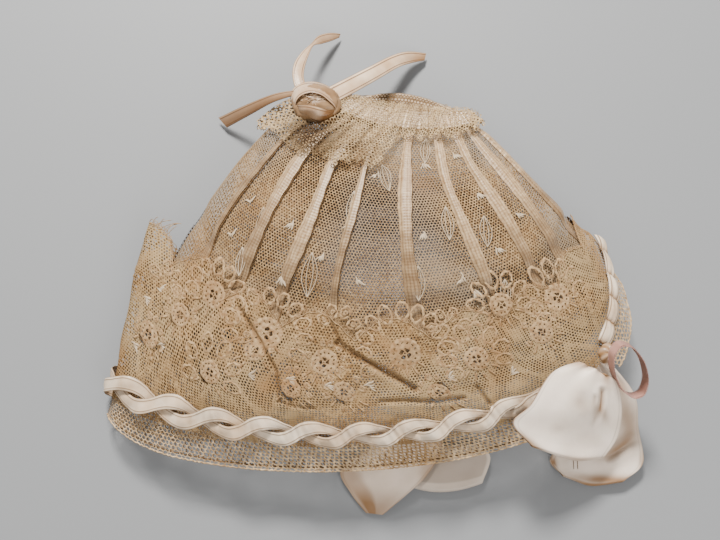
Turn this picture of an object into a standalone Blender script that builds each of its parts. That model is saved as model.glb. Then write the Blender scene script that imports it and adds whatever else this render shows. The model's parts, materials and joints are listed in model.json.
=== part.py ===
"""Christening bonnet of net and lace, lying on its side.

Blender Python, metres, +Z up. The bonnet lies on the plane z = 0 with the long
face edge towards -Y, the gathered crown towards +Y, the forehead fold at -X and
the nape at +X. The origin is on the flat underside. Sizes below are in
millimetres and become metres where a mesh is made.
"""

import math
from collections import namedtuple

import bmesh
import bpy
from mathutils import Matrix, Vector

MM = 0.001

# Driving sizes

CLOTH = 1.0            # wall of net, lace and satin
GAP = 0.5              # clearance between pieces that lie on each other
LAP = 1.5              # how far the crown net is tucked in under the lace band
PLEAT_WIDTH = 4.4
PLEAT_RISE = 0.9
PLEAT_STEP = 0.7       # width of the slope at each side of a pleat
RIBBON_WIDTH = 5.4
RIBBON_SWING = 3.3     # how far each face ribbon waves from its middle line
RIBBON_INSET = 6.6     # middle line of the face ribbons, in from the face edge
RIBBON_HALF_WAVE = 17.0
RIBBON_FIRST_CROSSING = 5.0
RIBBON_WRAP = 4.5      # how far the face ribbons run on round the forehead fold
RIBBON_HOP = 0.8       # rise and fall of a ribbon where it crosses the other
NECK_INSET = 3.2       # middle line of the nape ribbon, in from the edge
NECK_PUCKER = 0.6
FRILL_DEPTH = 9.5
FRILL_GAP = 0.8        # between the lace and the frill that is sewn on behind it
NET_BAR = 0.8          # half the bar that is left between two net openings
EYELET_BAR = 1.1       # lace that is left round an eyelet, inside its cell
WING_FLARE = 15.5      # how far the lace stands off the crown at the forehead fold
ROSE_TURNS = 2.3
ROSE_RADIUS = 9.0
ROSE_CORE = 1.6
ROSE_SEAT = 3.4        # height of its lower edge above the crown net, over the frill
TAIL_WIDTH = 5.4
TAIL_GAP = 0.6         # from the middle of the rosette's outer turn to a tail

# Sections of the body from the crown ring (s = 0) to the face edge (s = 1).
# Each is a Bezier curve in plan; fold_z and crest_z are the heights of its ends
# and its top, rest_z that of the layer below, which lies further back by set_back.

Section = namedtuple(
    "Section",
    "s left_x left_y hand_a_x hand_a_y hand_b_x hand_b_y right_x right_y"
    " fold_z crest_z rest_z set_back")

SECTIONS = [
    Section(0.00, -14.0, 62.5, -9.5, 50.5, 29.0, 48.0, 35.5, 55.5, 15.0, 24.0, 5.0, 13.0),
    Section(0.14, -31.0, 61.0, -25.0, 26.5, 36.5, 24.0, 43.5, 48.5, 13.0, 32.0, 2.5, 8.0),
    Section(0.30, -48.0, 45.0, -39.5, -1.0, 49.5, -1.0, 56.5, 36.0, 11.0, 37.0, 0.0, 5.0),
    Section(0.45, -61.5, 27.0, -52.0, -22.5, 62.5, -22.5, 67.5, 25.5, 9.5, 36.0, 0.0, 7.0),
    Section(0.60, -72.5, 11.0, -62.0, -42.5, 76.5, -41.0, 75.0, 18.0, 8.5, 33.0, 0.0, 9.0),
    Section(0.78, -84.0, -14.0, -72.0, -63.0, 97.0, -60.0, 79.5, 15.5, 7.5, 28.0, 0.0, 12.0),
    Section(1.00, -95.5, -46.5, -52.0, -76.0, 121.0, -74.0, 81.5, 12.0, 7.0, 22.0, 0.0, 15.0),
]

# Places of the nine pleats across the upper layer, 0 at the forehead, 1 at the nape
PLEATS = [0.10, 0.20, 0.30, 0.40, 0.54, 0.68, 0.79, 0.88, 0.962]

# Points of a satin piece: the two edges of the ribbon and the arch between them

Rib = namedtuple("Rib", "lx ly lz rx ry rz arch")

COLLECTION = "christening_bonnet"


# Body surface


def blend_rows(s):
    """Read the section table at s, with smooth slopes through its rows."""
    last = len(SECTIONS) - 2
    k = 0
    while k < last and s > SECTIONS[k + 1].s:
        k += 1
    low, high = SECTIONS[k], SECTIONS[k + 1]
    span = high.s - low.s
    u = (s - low.s) / span
    before = SECTIONS[k - 1] if k > 0 else low
    after = SECTIONS[k + 2] if k < last else high
    row = []
    for i in range(1, len(low)):
        rise = (high[i] - low[i]) / span
        slope_low = rise
        if k > 0:
            slope_low = (high[i] - before[i]) / (high.s - before.s)
        slope_high = rise
        if k < last:
            slope_high = (after[i] - low[i]) / (after.s - low.s)
        if 0.0 <= u <= 1.0:
            row.append(
                low[i] * (2 * u**3 - 3 * u**2 + 1) + high[i] * (3 * u**2 - 2 * u**3)
                + slope_low * span * (u**3 - 2 * u**2 + u)
                + slope_high * span * (u**3 - u**2))
        elif u < 0.0:
            row.append(low[i] + slope_low * u * span)
        else:
            row.append(high[i] + slope_high * (u - 1.0) * span)
    return Section(s, *row)


def bezier(t, p, a, b, q):
    """Point at t on the cubic curve from p to q with handles a and b."""
    r = 1.0 - t
    return r**3 * p + 3 * r * r * t * a + 3 * r * t * t * b + t**3 * q


def body(s, phi):
    """Point on the body: phi 0 is the forehead fold, pi the nape, and the upper
    layer lies between them; from 0 down to -pi runs the layer below."""
    row = blend_rows(s)
    t = 0.5 * (1.0 - math.cos(phi))
    side = abs(math.sin(phi))
    upper = math.sin(phi) >= 0.0
    back = 0.0 if upper else row.set_back * 4.0 / 3.0
    x = bezier(t, row.left_x, row.hand_a_x, row.hand_b_x, row.right_x)
    y = bezier(t, row.left_y, row.hand_a_y + back, row.hand_b_y + back, row.right_y)
    if upper:
        z = row.fold_z + (row.crest_z - row.fold_z) * side**1.1
    else:
        rest = max(0.0, row.rest_z)
        z = rest + (row.fold_z - rest) * max(0.0, 1.0 - 1.08 * side**0.6)
    return Vector((x, y, z))


def outward(s, phi):
    """Unit normal of the body at a point, away from the hollow."""
    step_s, step_phi = 0.012, 0.03
    along = body(s + step_s, phi) - body(s - step_s, phi)
    round_it = body(s, phi + step_phi) - body(s, phi - step_phi)
    return along.cross(round_it).normalized()


def skin(s, phi, lift=0.0):
    """Point at a height above the body."""
    return body(s, phi) + outward(s, phi) * lift


def phi_of(t, below=False):
    """Angle of the place t, from 0 at the forehead fold to 1 at the nape."""
    phi = math.acos(max(-1.0, min(1.0, 1.0 - 2.0 * t)))
    return -phi if below else phi


def smooth(low, high, value):
    """0 below low, 1 above high, and an even slope between."""
    u = max(0.0, min(1.0, (value - low) / (high - low)))
    return u * u * (3.0 - 2.0 * u)


def upper_length(s):
    """Length of the upper layer at a section."""
    points = [body(s, phi_of(k / 24)) for k in range(25)]
    return sum((b - a).length for a, b in zip(points, points[1:]))


def inset(millimetres, phi):
    """Section that lies that far in from the face edge."""
    run = (body(1.0, phi) - body(0.94, phi)).length
    return 1.0 - 0.06 * millimetres / run


# Objects


def material(name, colour, roughness):
    """Plain cloth material."""
    made = bpy.data.materials.new(name)
    made.use_nodes = True
    shader = made.node_tree.nodes["Principled BSDF"]
    shader.inputs["Base Color"].default_value = (*colour, 1.0)
    shader.inputs["Roughness"].default_value = roughness
    shader.inputs["Metallic"].default_value = 0.0
    return made


def wall(name, grid, finish, wrap=False, thickness=CLOTH, holes=(), bar=NET_BAR):
    """Cloth wall on a grid of points of its outer face; listed cells are open."""
    bm = bmesh.new()
    verts = [[bm.verts.new(p * MM) for p in row] for row in grid]
    cells = {}
    columns = len(grid[0])
    for i in range(len(grid) - 1):
        for j in range(columns if wrap else columns - 1):
            k = (j + 1) % columns
            cells[i, j] = bm.faces.new(
                (verts[i][j], verts[i + 1][j], verts[i + 1][k], verts[i][k]))
    bm.normal_update()
    opened = [cells[cell] for cell in holes]
    if opened:
        bmesh.ops.inset_individual(bm, faces=opened, thickness=bar * MM, use_even_offset=True)
        bmesh.ops.delete(bm, geom=opened, context="FACES")
    mesh = bpy.data.meshes.new(name)
    bm.to_mesh(mesh)
    bm.free()
    mesh.materials.append(finish)
    piece = bpy.data.objects.new(name, mesh)
    bpy.data.collections[COLLECTION].objects.link(piece)
    shell = piece.modifiers.new("wall", "SOLIDIFY")
    shell.thickness = thickness * MM
    shell.offset = -1.0
    return piece


def turned(name, profile, finish, steps):
    """Turned shape standing on its own axis, from a profile of (radius, height)."""
    mesh = bpy.data.meshes.new(name)
    points = [(r * MM, 0.0, z * MM) for r, z in profile]
    mesh.from_pydata(points, [(i, i + 1) for i in range(len(points) - 1)], [])
    mesh.materials.append(finish)
    piece = bpy.data.objects.new(name, mesh)
    bpy.data.collections[COLLECTION].objects.link(piece)
    screw = piece.modifiers.new("turn", "SCREW")
    screw.steps = steps
    screw.render_steps = steps
    screw.use_merge_vertices = True
    screw.merge_threshold = 0.00001
    return piece


def ribs_to_grid(ribs, along, across):
    """Smooth satin surface through a table of ribs."""
    grid = []
    last = len(ribs) - 1
    for n in range(along + 1):
        u = n * last / along
        k = min(int(u), last - 1)
        f = u - k
        p0, p1 = ribs[max(k - 1, 0)], ribs[k]
        p2, p3 = ribs[k + 1], ribs[min(k + 2, last)]
        v = [
            0.5 * (2 * b + (c - a) * f + (2 * a - 5 * b + 4 * c - d) * f * f
                   + (3 * b - a - 3 * c + d) * f**3)
            for a, b, c, d in zip(p0, p1, p2, p3)]
        left, right, arch = Vector(v[0:3]), Vector(v[3:6]), v[6]
        row = []
        for m in range(across + 1):
            w = m / across
            point = left.lerp(right, w)
            point.z += arch * math.sin(math.pi * w)
            row.append(point)
        grid.append(row)
    return grid


def loop_grid(ribs, along, across, depth):
    """Ribbon that runs out along the ribs, folds over and comes back below."""
    top = ribs_to_grid(ribs, along, across)
    tip = []
    for before, last in zip(top[-2], top[-1]):
        ahead = (last - before).normalized() * (0.5 * depth)
        tip.append(last + ahead + Vector((0.0, 0.0, -0.5 * depth)))
    under = [[p - Vector((0.0, 0.0, depth)) for p in row] for row in reversed(top)]
    return top + [tip] + under


# Crown net


def make_crown_net(finish):
    """Body of fine net with nine pressed pleats; its lower part is tucked in
    under the lace band."""
    rows = [0.0, 0.05, 0.13, 0.22, 0.32, 0.44, 0.51, 0.59, 0.68]
    grid = []
    for s in rows:
        length = upper_length(s)
        half = 0.5 * PLEAT_WIDTH / length
        slope = PLEAT_STEP / length
        places = [(0.0, 0.0), (0.012, 0.0), (0.045, 0.0)]
        for k, middle in enumerate(PLEATS):
            for offset, rise in ((-half - slope, 0.0), (-half, 1.0), (half, 1.0),
                                 (half + slope, 0.0)):
                places.append((min(middle + offset, 0.9955), rise))
            following = PLEATS[k + 1] if k + 1 < len(PLEATS) else middle
            if following - middle > 0.1:
                places.append((0.5 * (middle + following), 0.0))
        places.append((1.0, 0.0))
        under_lace = smooth(0.44, 0.51, s)
        tucked = -LAP * under_lace
        height = PLEAT_RISE * (1.0 - under_lace) * (0.3 + 0.7 * smooth(0.03, 0.12, s))
        row = [skin(s, phi_of(t), tucked + rise * height) for t, rise in places]
        below = 20
        for k in range(1, below):
            t = 0.5 * (1.0 + math.cos(math.pi * k / below))
            row.append(skin(s, phi_of(t, below=True), tucked))
        grid.append(row)
    return wall("crown_net", grid, finish, wrap=True)


# Lace band


def flare(s, phi):
    """Sideways shift of the lace where it stands off the crown at the forehead."""
    near_fold = math.exp(-(phi / 0.42) ** 2)
    return Vector((-WING_FLARE * near_fold * max(0.0, (1.0 - s) / 0.47), 0.0, 0.0))


def lace_skin(s, phi, lift=0.0):
    """Point at a height above the lace."""
    return skin(s, phi, lift) + flare(s, phi)


def band_top(t):
    """Upper edge of the lace: a row of round scallops, one of them on each fold."""
    return 0.60 - 0.07 * abs(math.cos(math.pi * 8.0 * t))


def make_lace_band(finish):
    """Deep lace with a scalloped upper edge and eyelets in its flowers."""
    upper, below = 38, 24
    angles = []
    for k in range(upper + 1):
        u = k / upper
        angles.append(phi_of(0.45 * u + 0.55 * 0.5 * (1.0 - math.cos(math.pi * u))))
    for k in range(1, below):
        angles.append(phi_of(0.5 * (1.0 + math.cos(math.pi * k / below)), below=True))
    grid = []
    levels = [0.0, 0.15, 0.33, 0.47, 0.63, 0.82, 1.0]
    for level in levels:
        row = []
        for phi in angles:
            t = 0.5 * (1.0 - math.cos(phi))
            top = band_top(t)
            s = top + (1.0 - top) * level
            row.append(lace_skin(s, phi))
        grid.append(row)
    flowers = [(2 + k % 2, 4 + 3 * k) for k in range(10)]
    return wall("lace_band", grid, finish, wrap=True, holes=flowers, bar=EYELET_BAR)


# Frills of coarse net


def frill_point(phi, depth, wave):
    """Point of a frill that runs out from the face edge."""
    edge = body(1.0, phi)
    out = (edge - body(0.95, phi)).normalized()
    depth *= 0.5 + 0.5 * smooth(0.0, 0.75, abs(phi))
    point = edge + out * (FRILL_GAP + depth)
    if math.sin(phi) > 0.0:
        point.z += wave
    point.z = max(point.z, 0.0)
    return point


def make_frill(name, finish, angles, depth, ruffles, open_rows):
    """Gathered strip of coarse net along the face edge, with open cells."""
    grid = []
    for level in (0.0, 0.5, 1.0):
        row = []
        for k, phi in enumerate(angles):
            wave = 0.9 * level * math.sin(2.0 * math.pi * ruffles * k / len(angles))
            row.append(frill_point(phi, depth * level, wave - 1.5 * level))
        grid.append(row)
    cells = [(i, j) for i in open_rows for j in range(len(angles) - 1)]
    return wall(name, grid, finish, holes=cells)


def arc_angles(s, start_t, end_t, below_start, count):
    """Evenly spaced angles along a section, from one side round to the other."""
    first = phi_of(start_t, below=below_start)
    last = phi_of(end_t)
    fine = [first + (last - first) * k / 400 for k in range(401)]
    points = [body(s, phi) for phi in fine]
    lengths = [0.0]
    for a, b in zip(points, points[1:]):
        lengths.append(lengths[-1] + (b - a).length)
    angles = []
    k = 0
    for n in range(count + 1):
        want = lengths[-1] * n / count
        while k < 399 and lengths[k + 1] < want:
            k += 1
        share = (want - lengths[k]) / (lengths[k + 1] - lengths[k])
        angles.append(fine[k] + (fine[k + 1] - fine[k]) * share)
    return angles, lengths[-1]


# Ribbons that lie on the body


def lay_ribbon(name, finish, angles, middle, lift, width):
    """Flat ribbon on the body; middle and lift are functions of the place k."""
    grid = [[], []]
    for k, phi in enumerate(angles):
        for edge, side in ((0, 1.0), (1, -1.0)):
            s = inset(middle(k) + side * 0.5 * width, phi)
            grid[edge].append(lace_skin(s, phi, lift(k)))
    return wall(name, grid, finish)


def make_face_ribbons(finish):
    """Two satin ribbons that wave in turn and pass over and under each other."""
    s = inset(RIBBON_INSET, phi_of(0.5))
    angles, length = arc_angles(s, 0.018, 0.70, True, 64)
    start = RIBBON_WRAP + RIBBON_FIRST_CROSSING
    under = GAP + CLOTH
    for name, turn in (("face_ribbon_a", 1.0), ("face_ribbon_b", -1.0)):

        def phase(k):
            return math.pi * (length * k / 64 - start) / RIBBON_HALF_WAVE

        def middle(k, turn=turn):
            return RIBBON_INSET + turn * RIBBON_SWING * math.sin(phase(k))

        def lift(k, turn=turn):
            hop = max(-1.0, min(1.0, math.cos(phase(k)) / 0.42))
            return under + RIBBON_HOP * (1.0 + turn * hop)

        lay_ribbon(name, finish, angles, middle, lift, RIBBON_WIDTH)


def make_neck_ribbon(finish):
    """Ribbon drawn along the nape edge, puckered across."""
    angles, _ = arc_angles(0.97, 0.80, 0.988, False, 24)

    def middle(k):
        return NECK_INSET

    def lift(k):
        return GAP + CLOTH + (NECK_PUCKER if k % 2 else 0.0)

    lay_ribbon("neck_ribbon", finish, angles, middle, lift, RIBBON_WIDTH)


# Crown ring, its frill and the rosette


def make_crown_ring(finish):
    """Draw ribbon round the gathered crown opening."""
    count = 36
    grid = []
    for s, lift in ((-0.035, 2.1), (0.022, 2.1)):
        grid.append([skin(s, 2.0 * math.pi * k / count - math.pi, lift) for k in range(count)])
    return wall("crown_ring", grid, finish, wrap=True)


def make_crown_frill(finish):
    """Net collar round the crown: it falls over the upper layer and stands out
    past the ring on the side below."""
    count = 42
    grid = []
    for level in (0.0, 0.5, 1.0):
        row = []
        for k in range(count):
            phi = 2.0 * math.pi * k / count - math.pi
            t = 0.5 * (1.0 - math.cos(phi))
            wave = math.sin(14.0 * phi)
            reach = 0.02 + 0.10 * smooth(0.52, 0.42, t) + 0.09 * smooth(0.35, 0.05, t)
            reach *= smooth(-0.4, 0.05, math.sin(phi))
            start = 0.035
            share = smooth(-0.35, 0.0, math.sin(phi))
            stand = 10.5 * abs(math.sin(phi)) ** 0.6
            falling = skin(start + reach * level, phi, 2.2 + level * (0.7 + 0.5 * wave))
            root = skin(start, phi, 2.2 + 1.3 * (1.0 - share))
            standing = root + Vector((0.0, stand, 0.4 * wave)) * level
            row.append(standing.lerp(falling, share))
        grid.append(row)
    return wall("crown_frill", grid, finish, wrap=True)


def rosette_frame():
    """Place and axes of the rosette, on the crown beside the ring."""
    s, phi = 0.09, 0.58
    up = (outward(s, phi) + Vector((0.0, 0.0, 0.35))).normalized()
    across = Vector((1.0, 0.0, 0.0))
    across = (across - up * across.dot(up)).normalized()
    away = up.cross(across)
    return skin(s, phi, ROSE_SEAT), across, away, up


def rose_point(share, height, spread=1.0):
    """Point of the rolled ribbon, from its core (0) to its outer end (1)."""
    centre, across, away, up = rosette_frame()
    angle = 2.0 * math.pi * ROSE_TURNS * share
    radius = (ROSE_CORE + (ROSE_RADIUS - ROSE_CORE) * share) * spread
    return centre + (across * math.cos(angle) + away * math.sin(angle)) * radius + up * height


def make_rosette(finish):
    """Satin ribbon rolled into a rosebud."""
    count = 38
    grid = [[], [], []]
    for k in range(count + 1):
        share = k / count
        grid[0].append(rose_point(share, 9.0 - 4.0 * share, 1.0 + 0.10 * share))
        grid[1].append(rose_point(share, 4.5 - 2.0 * share))
        grid[2].append(rose_point(share, 0.0, 0.92))
    return wall("rosette", grid, finish)


def tail_root(turns):
    """First rib of a tail, beside the outer turn of the rosette."""
    centre, _, _, up = rosette_frame()
    rim = rose_point(turns / ROSE_TURNS, 1.6)
    ray = (rim - centre - up * 1.6).normalized()
    side = up.cross(ray) * (0.5 * TAIL_WIDTH)
    root = rim + ray * TAIL_GAP
    return Rib(*(root + side), *(root - side), 0.2)


def make_tails(finish):
    """Three free ends of the draw ribbon that come out beside the rosette."""
    tables = {
        "tail_left": [
            tail_root(1.53), Rib(-42.5, 60.0, 17.5, -42.0, 65.5, 17.5, 0.4),
            Rib(-52.5, 57.8, 8.5, -51.0, 63.0, 8.5, 0.4), Rib(-57.0, 56.2, 1.8, -60.0, 61.0, 1.8, 0.2)],
        "tail_top": [
            tail_root(2.27), Rib(-31.0, 76.0, 18.5, -25.2, 76.5, 19.5, 0.3),
            Rib(-28.0, 84.5, 12.0, -22.6, 82.6, 14.0, 0.3), Rib(-22.0, 92.0, 6.0, -18.5, 87.8, 8.0, 0.2),
            Rib(-14.5, 95.5, 1.8, -13.5, 90.5, 1.8, 0.1)],
        "tail_right": [
            tail_root(2.13), Rib(-6.5, 75.0, 17.0, -3.0, 70.4, 17.0, 0.4),
            Rib(7.0, 85.5, 9.5, 9.5, 80.6, 9.5, 0.4), Rib(20.0, 90.0, 1.8, 19.5, 84.6, 1.8, 0.2)],
    }
    for name, ribs in tables.items():
        wall(name, ribs_to_grid(ribs, 9, 2), finish)


# Bows


def make_side_bow(finish, pink):
    """Satin bow at the upper cheek, with a loop of narrow pink ribbon."""
    front = [
        Rib(72.6, -35.9, 27.2, 79.6, -39.2, 25.6, 0.6), Rib(62.0, -41.0, 29.2, 83.5, -42.0, 24.0, 0.8),
        Rib(52.5, -49.5, 29.6, 86.0, -51.0, 18.5, 0.6), Rib(47.0, -56.0, 28.8, 85.0, -60.5, 13.0, 0.2),
        Rib(53.5, -63.5, 25.4, 80.5, -67.5, 11.5, 0.6)]
    wall("side_bow_front", loop_grid(front, 8, 4, 2.4), finish)
    back = [
        Rib(75.5, -35.0, 17.9, 82.5, -33.5, 16.6, 0.3), Rib(80.0, -46.0, 12.0, 92.5, -45.0, 12.0, 0.4),
        Rib(73.0, -58.0, 5.5, 95.0, -57.0, 6.0, 0.8), Rib(64.0, -68.0, 4.0, 96.0, -69.5, 4.2, 0.5),
        Rib(68.0, -74.0, 3.6, 89.0, -76.0, 3.8, 0.2)]
    wall("side_bow_back", loop_grid(back, 8, 4, 2.4), finish)
    centre = skin(0.97, phi_of(0.785), 4.4)
    dome = [(0.0, 2.6), (2.2, 2.2), (3.6, 0.8), (3.9, -0.6), (3.2, -2.0), (0.0, -2.6)]
    knot = turned("side_bow_knot", dome, finish, 12)
    tilt = outward(0.97, phi_of(0.785)).to_track_quat("Z", "Y").to_matrix().to_4x4()
    knot.matrix_world = Matrix.Translation(centre * MM) @ tilt
    count = 20
    hoop = Vector((87.1, -37.3, 25.8))
    long_way = Vector((0.45, -0.72, -0.53)).normalized()
    wide_way = Vector((0.80, 0.58, 0.12)).normalized()
    side_way = long_way.cross(wide_way).normalized()
    grid = []
    for height in (2.0, -2.0):
        grid.append([
            hoop + long_way * 11.0 * math.cos(2.0 * math.pi * k / count)
            + wide_way * 5.6 * math.sin(2.0 * math.pi * k / count) + side_way * height
            for k in range(count)])
    wall("pink_loop", grid, pink, wrap=True, thickness=0.8)


def make_far_bow(finish):
    """Bow of the lower cheek, which lies on the surface in front of the edge."""
    leaf = [
        Rib(8.0, -53.5, 2.6, 25.0, -55.0, 4.6, 0.8), Rib(-1.0, -63.0, 3.0, 23.0, -66.0, 5.2, 1.2),
        Rib(-12.5, -71.5, 2.4, 18.0, -74.0, 5.0, 1.4), Rib(-9.0, -80.0, 1.8, 11.0, -80.5, 3.6, 1.0),
        Rib(-3.5, -87.0, 1.2, 2.5, -87.6, 1.4, 0.3)]
    wall("far_bow_leaf", ribs_to_grid(leaf, 9, 6), finish)
    loop = [
        Rib(22.0, -63.5, 3.0, 36.0, -62.5, 3.0, 0.3), Rib(16.0, -70.5, 3.0, 41.5, -67.0, 3.2, 0.3),
        Rib(13.5, -78.0, 3.0, 38.5, -76.5, 3.0, 0.2)]
    wall("far_bow_loop", loop_grid(loop, 6, 4, 2.4), finish)


def build():
    """Make every piece of the bonnet."""
    for old in list(bpy.data.objects):
        bpy.data.objects.remove(old, do_unlink=True)
    collection = bpy.data.collections.new(COLLECTION)
    bpy.context.scene.collection.children.link(collection)
    net = material("ecru_net", (0.56, 0.42, 0.27), 0.85)
    lace = material("ecru_lace", (0.50, 0.35, 0.20), 0.85)
    satin = material("cream_satin", (0.78, 0.63, 0.47), 0.35)
    bow_satin = material("ivory_satin", (0.75, 0.66, 0.55), 0.35)
    pink = material("pink_ribbon", (0.66, 0.42, 0.38), 0.45)
    make_crown_net(net)
    make_lace_band(lace)
    angles, _ = arc_angles(1.0, 0.74, 0.635, True, 40)
    make_frill("face_frill", net, angles, FRILL_DEPTH, 15, (0, 1))
    neck_angles, _ = arc_angles(1.0, 0.79, 0.985, False, 10)
    make_frill("neck_frill", net, neck_angles, 6.0, 3, (1,))
    make_face_ribbons(satin)
    make_neck_ribbon(satin)
    make_crown_ring(satin)
    make_crown_frill(net)
    make_rosette(satin)
    make_tails(satin)
    make_side_bow(bow_satin, pink)
    make_far_bow(bow_satin)


build()
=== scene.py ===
"""Christening bonnet of net and lace, lying on its side: the looks.

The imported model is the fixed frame. Every net, ribbon and bow is modelled here in
its place, in the same metres, and stands for its CAD node. Sizes in the sections
are in millimetres, as a sewing pattern gives them, and times MM in the meshes.
"""

import json
import math
import random

import bpy
import numpy as np
from mathutils import Vector, noise as lumps
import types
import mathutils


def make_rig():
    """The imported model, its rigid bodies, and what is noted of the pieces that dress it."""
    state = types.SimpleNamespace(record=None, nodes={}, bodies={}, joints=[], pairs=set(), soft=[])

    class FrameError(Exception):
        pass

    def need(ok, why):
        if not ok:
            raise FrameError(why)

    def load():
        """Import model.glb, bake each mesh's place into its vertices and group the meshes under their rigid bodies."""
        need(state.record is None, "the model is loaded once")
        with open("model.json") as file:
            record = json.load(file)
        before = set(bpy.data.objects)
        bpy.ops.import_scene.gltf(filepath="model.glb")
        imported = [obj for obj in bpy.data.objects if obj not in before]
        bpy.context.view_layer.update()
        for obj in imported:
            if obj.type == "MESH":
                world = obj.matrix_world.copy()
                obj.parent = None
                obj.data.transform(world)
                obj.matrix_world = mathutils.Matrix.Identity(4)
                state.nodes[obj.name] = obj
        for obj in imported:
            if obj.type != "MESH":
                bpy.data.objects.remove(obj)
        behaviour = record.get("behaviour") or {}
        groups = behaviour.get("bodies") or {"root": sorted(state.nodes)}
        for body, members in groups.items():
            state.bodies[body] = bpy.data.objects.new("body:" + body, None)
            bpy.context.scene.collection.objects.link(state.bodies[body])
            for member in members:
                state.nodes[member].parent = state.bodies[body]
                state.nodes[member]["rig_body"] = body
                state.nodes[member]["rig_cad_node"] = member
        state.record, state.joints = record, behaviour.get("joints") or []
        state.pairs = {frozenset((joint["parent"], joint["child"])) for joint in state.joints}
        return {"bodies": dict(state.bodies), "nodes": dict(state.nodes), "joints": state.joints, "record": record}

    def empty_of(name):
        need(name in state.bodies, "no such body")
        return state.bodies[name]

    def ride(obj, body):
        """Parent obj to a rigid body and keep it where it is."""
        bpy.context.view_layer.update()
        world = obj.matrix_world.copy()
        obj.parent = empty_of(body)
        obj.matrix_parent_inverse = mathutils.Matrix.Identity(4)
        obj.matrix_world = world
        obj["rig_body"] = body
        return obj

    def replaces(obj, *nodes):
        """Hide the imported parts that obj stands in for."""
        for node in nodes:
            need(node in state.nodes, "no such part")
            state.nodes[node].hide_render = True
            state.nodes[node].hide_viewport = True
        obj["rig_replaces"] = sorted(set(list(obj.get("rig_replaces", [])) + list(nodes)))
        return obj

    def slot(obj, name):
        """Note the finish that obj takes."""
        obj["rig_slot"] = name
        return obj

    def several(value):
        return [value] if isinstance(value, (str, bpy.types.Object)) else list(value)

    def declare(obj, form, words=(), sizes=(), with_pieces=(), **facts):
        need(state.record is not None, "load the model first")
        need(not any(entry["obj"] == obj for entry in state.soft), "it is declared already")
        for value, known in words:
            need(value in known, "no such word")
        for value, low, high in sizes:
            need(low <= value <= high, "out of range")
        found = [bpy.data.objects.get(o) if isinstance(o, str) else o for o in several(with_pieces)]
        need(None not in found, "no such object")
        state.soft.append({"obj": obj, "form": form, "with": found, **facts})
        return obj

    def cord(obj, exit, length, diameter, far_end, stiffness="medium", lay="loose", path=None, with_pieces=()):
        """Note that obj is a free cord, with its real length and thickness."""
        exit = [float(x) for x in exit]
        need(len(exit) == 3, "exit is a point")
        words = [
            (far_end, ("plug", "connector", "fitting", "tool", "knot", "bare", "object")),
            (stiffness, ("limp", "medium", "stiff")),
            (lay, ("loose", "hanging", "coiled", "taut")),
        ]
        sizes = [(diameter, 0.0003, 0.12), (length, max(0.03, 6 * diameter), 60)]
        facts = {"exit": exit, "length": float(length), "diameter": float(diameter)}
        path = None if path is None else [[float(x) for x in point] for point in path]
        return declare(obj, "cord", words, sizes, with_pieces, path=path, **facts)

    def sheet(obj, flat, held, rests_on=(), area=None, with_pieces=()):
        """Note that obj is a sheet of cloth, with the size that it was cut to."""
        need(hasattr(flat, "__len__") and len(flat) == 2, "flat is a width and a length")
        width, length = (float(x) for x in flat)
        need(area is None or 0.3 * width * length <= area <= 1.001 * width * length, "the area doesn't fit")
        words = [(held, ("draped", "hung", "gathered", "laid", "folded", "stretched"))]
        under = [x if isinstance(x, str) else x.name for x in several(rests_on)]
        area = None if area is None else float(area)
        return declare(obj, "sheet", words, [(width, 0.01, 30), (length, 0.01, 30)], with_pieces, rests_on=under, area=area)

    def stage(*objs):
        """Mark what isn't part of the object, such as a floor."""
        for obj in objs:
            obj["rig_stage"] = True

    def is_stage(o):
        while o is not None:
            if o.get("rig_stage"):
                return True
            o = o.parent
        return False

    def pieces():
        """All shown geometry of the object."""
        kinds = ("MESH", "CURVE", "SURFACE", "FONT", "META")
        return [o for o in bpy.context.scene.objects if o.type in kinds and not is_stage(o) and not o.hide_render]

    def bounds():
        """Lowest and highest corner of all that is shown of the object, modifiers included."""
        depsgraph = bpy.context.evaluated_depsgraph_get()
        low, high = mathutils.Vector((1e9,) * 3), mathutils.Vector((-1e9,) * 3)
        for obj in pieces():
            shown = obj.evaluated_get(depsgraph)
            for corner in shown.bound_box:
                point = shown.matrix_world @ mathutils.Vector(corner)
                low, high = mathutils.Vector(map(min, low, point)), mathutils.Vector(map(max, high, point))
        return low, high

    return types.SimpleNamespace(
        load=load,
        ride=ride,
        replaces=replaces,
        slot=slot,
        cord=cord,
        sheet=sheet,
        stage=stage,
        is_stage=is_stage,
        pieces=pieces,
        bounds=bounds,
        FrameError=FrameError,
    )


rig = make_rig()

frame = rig.load()
cad_box = [list(corner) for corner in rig.bounds()]
MM = 0.001
TABLE_CLEAR = 0.15         # millimetres that net and lace stay above the table
MERGE = 0.000004           # metres under which a mesh's points are made one


# Camera
# The bonnet is looked down on, ten degrees off the vertical, from about 37
# centimetres above the table. What lies on the lace is placed by the same view.

CAMERA_AIM = Vector((-0.0057, 0.0023, 0.0))
CAMERA_DISTANCE = 0.378
CAMERA_TILT = math.radians(10.0)
PHOTO_SIZE = (720, 540)
LENS_MM, SENSOR_MM = 50.0, 36.0
FOCAL_PX = PHOTO_SIZE[0] * LENS_MM / SENSOR_MM

camera_data = bpy.data.cameras.new("photo_camera")
camera_data.lens = LENS_MM
camera_data.sensor_width = SENSOR_MM
camera_data.clip_start = 0.01
camera = bpy.data.objects.new("photo_camera", camera_data)
bpy.context.collection.objects.link(camera)
camera.location = CAMERA_AIM + CAMERA_DISTANCE * Vector(
    (0.0, -math.sin(CAMERA_TILT), math.cos(CAMERA_TILT)))
camera.rotation_euler = (CAMERA_TILT, 0.0, 0.0)
bpy.context.scene.camera = camera


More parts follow.
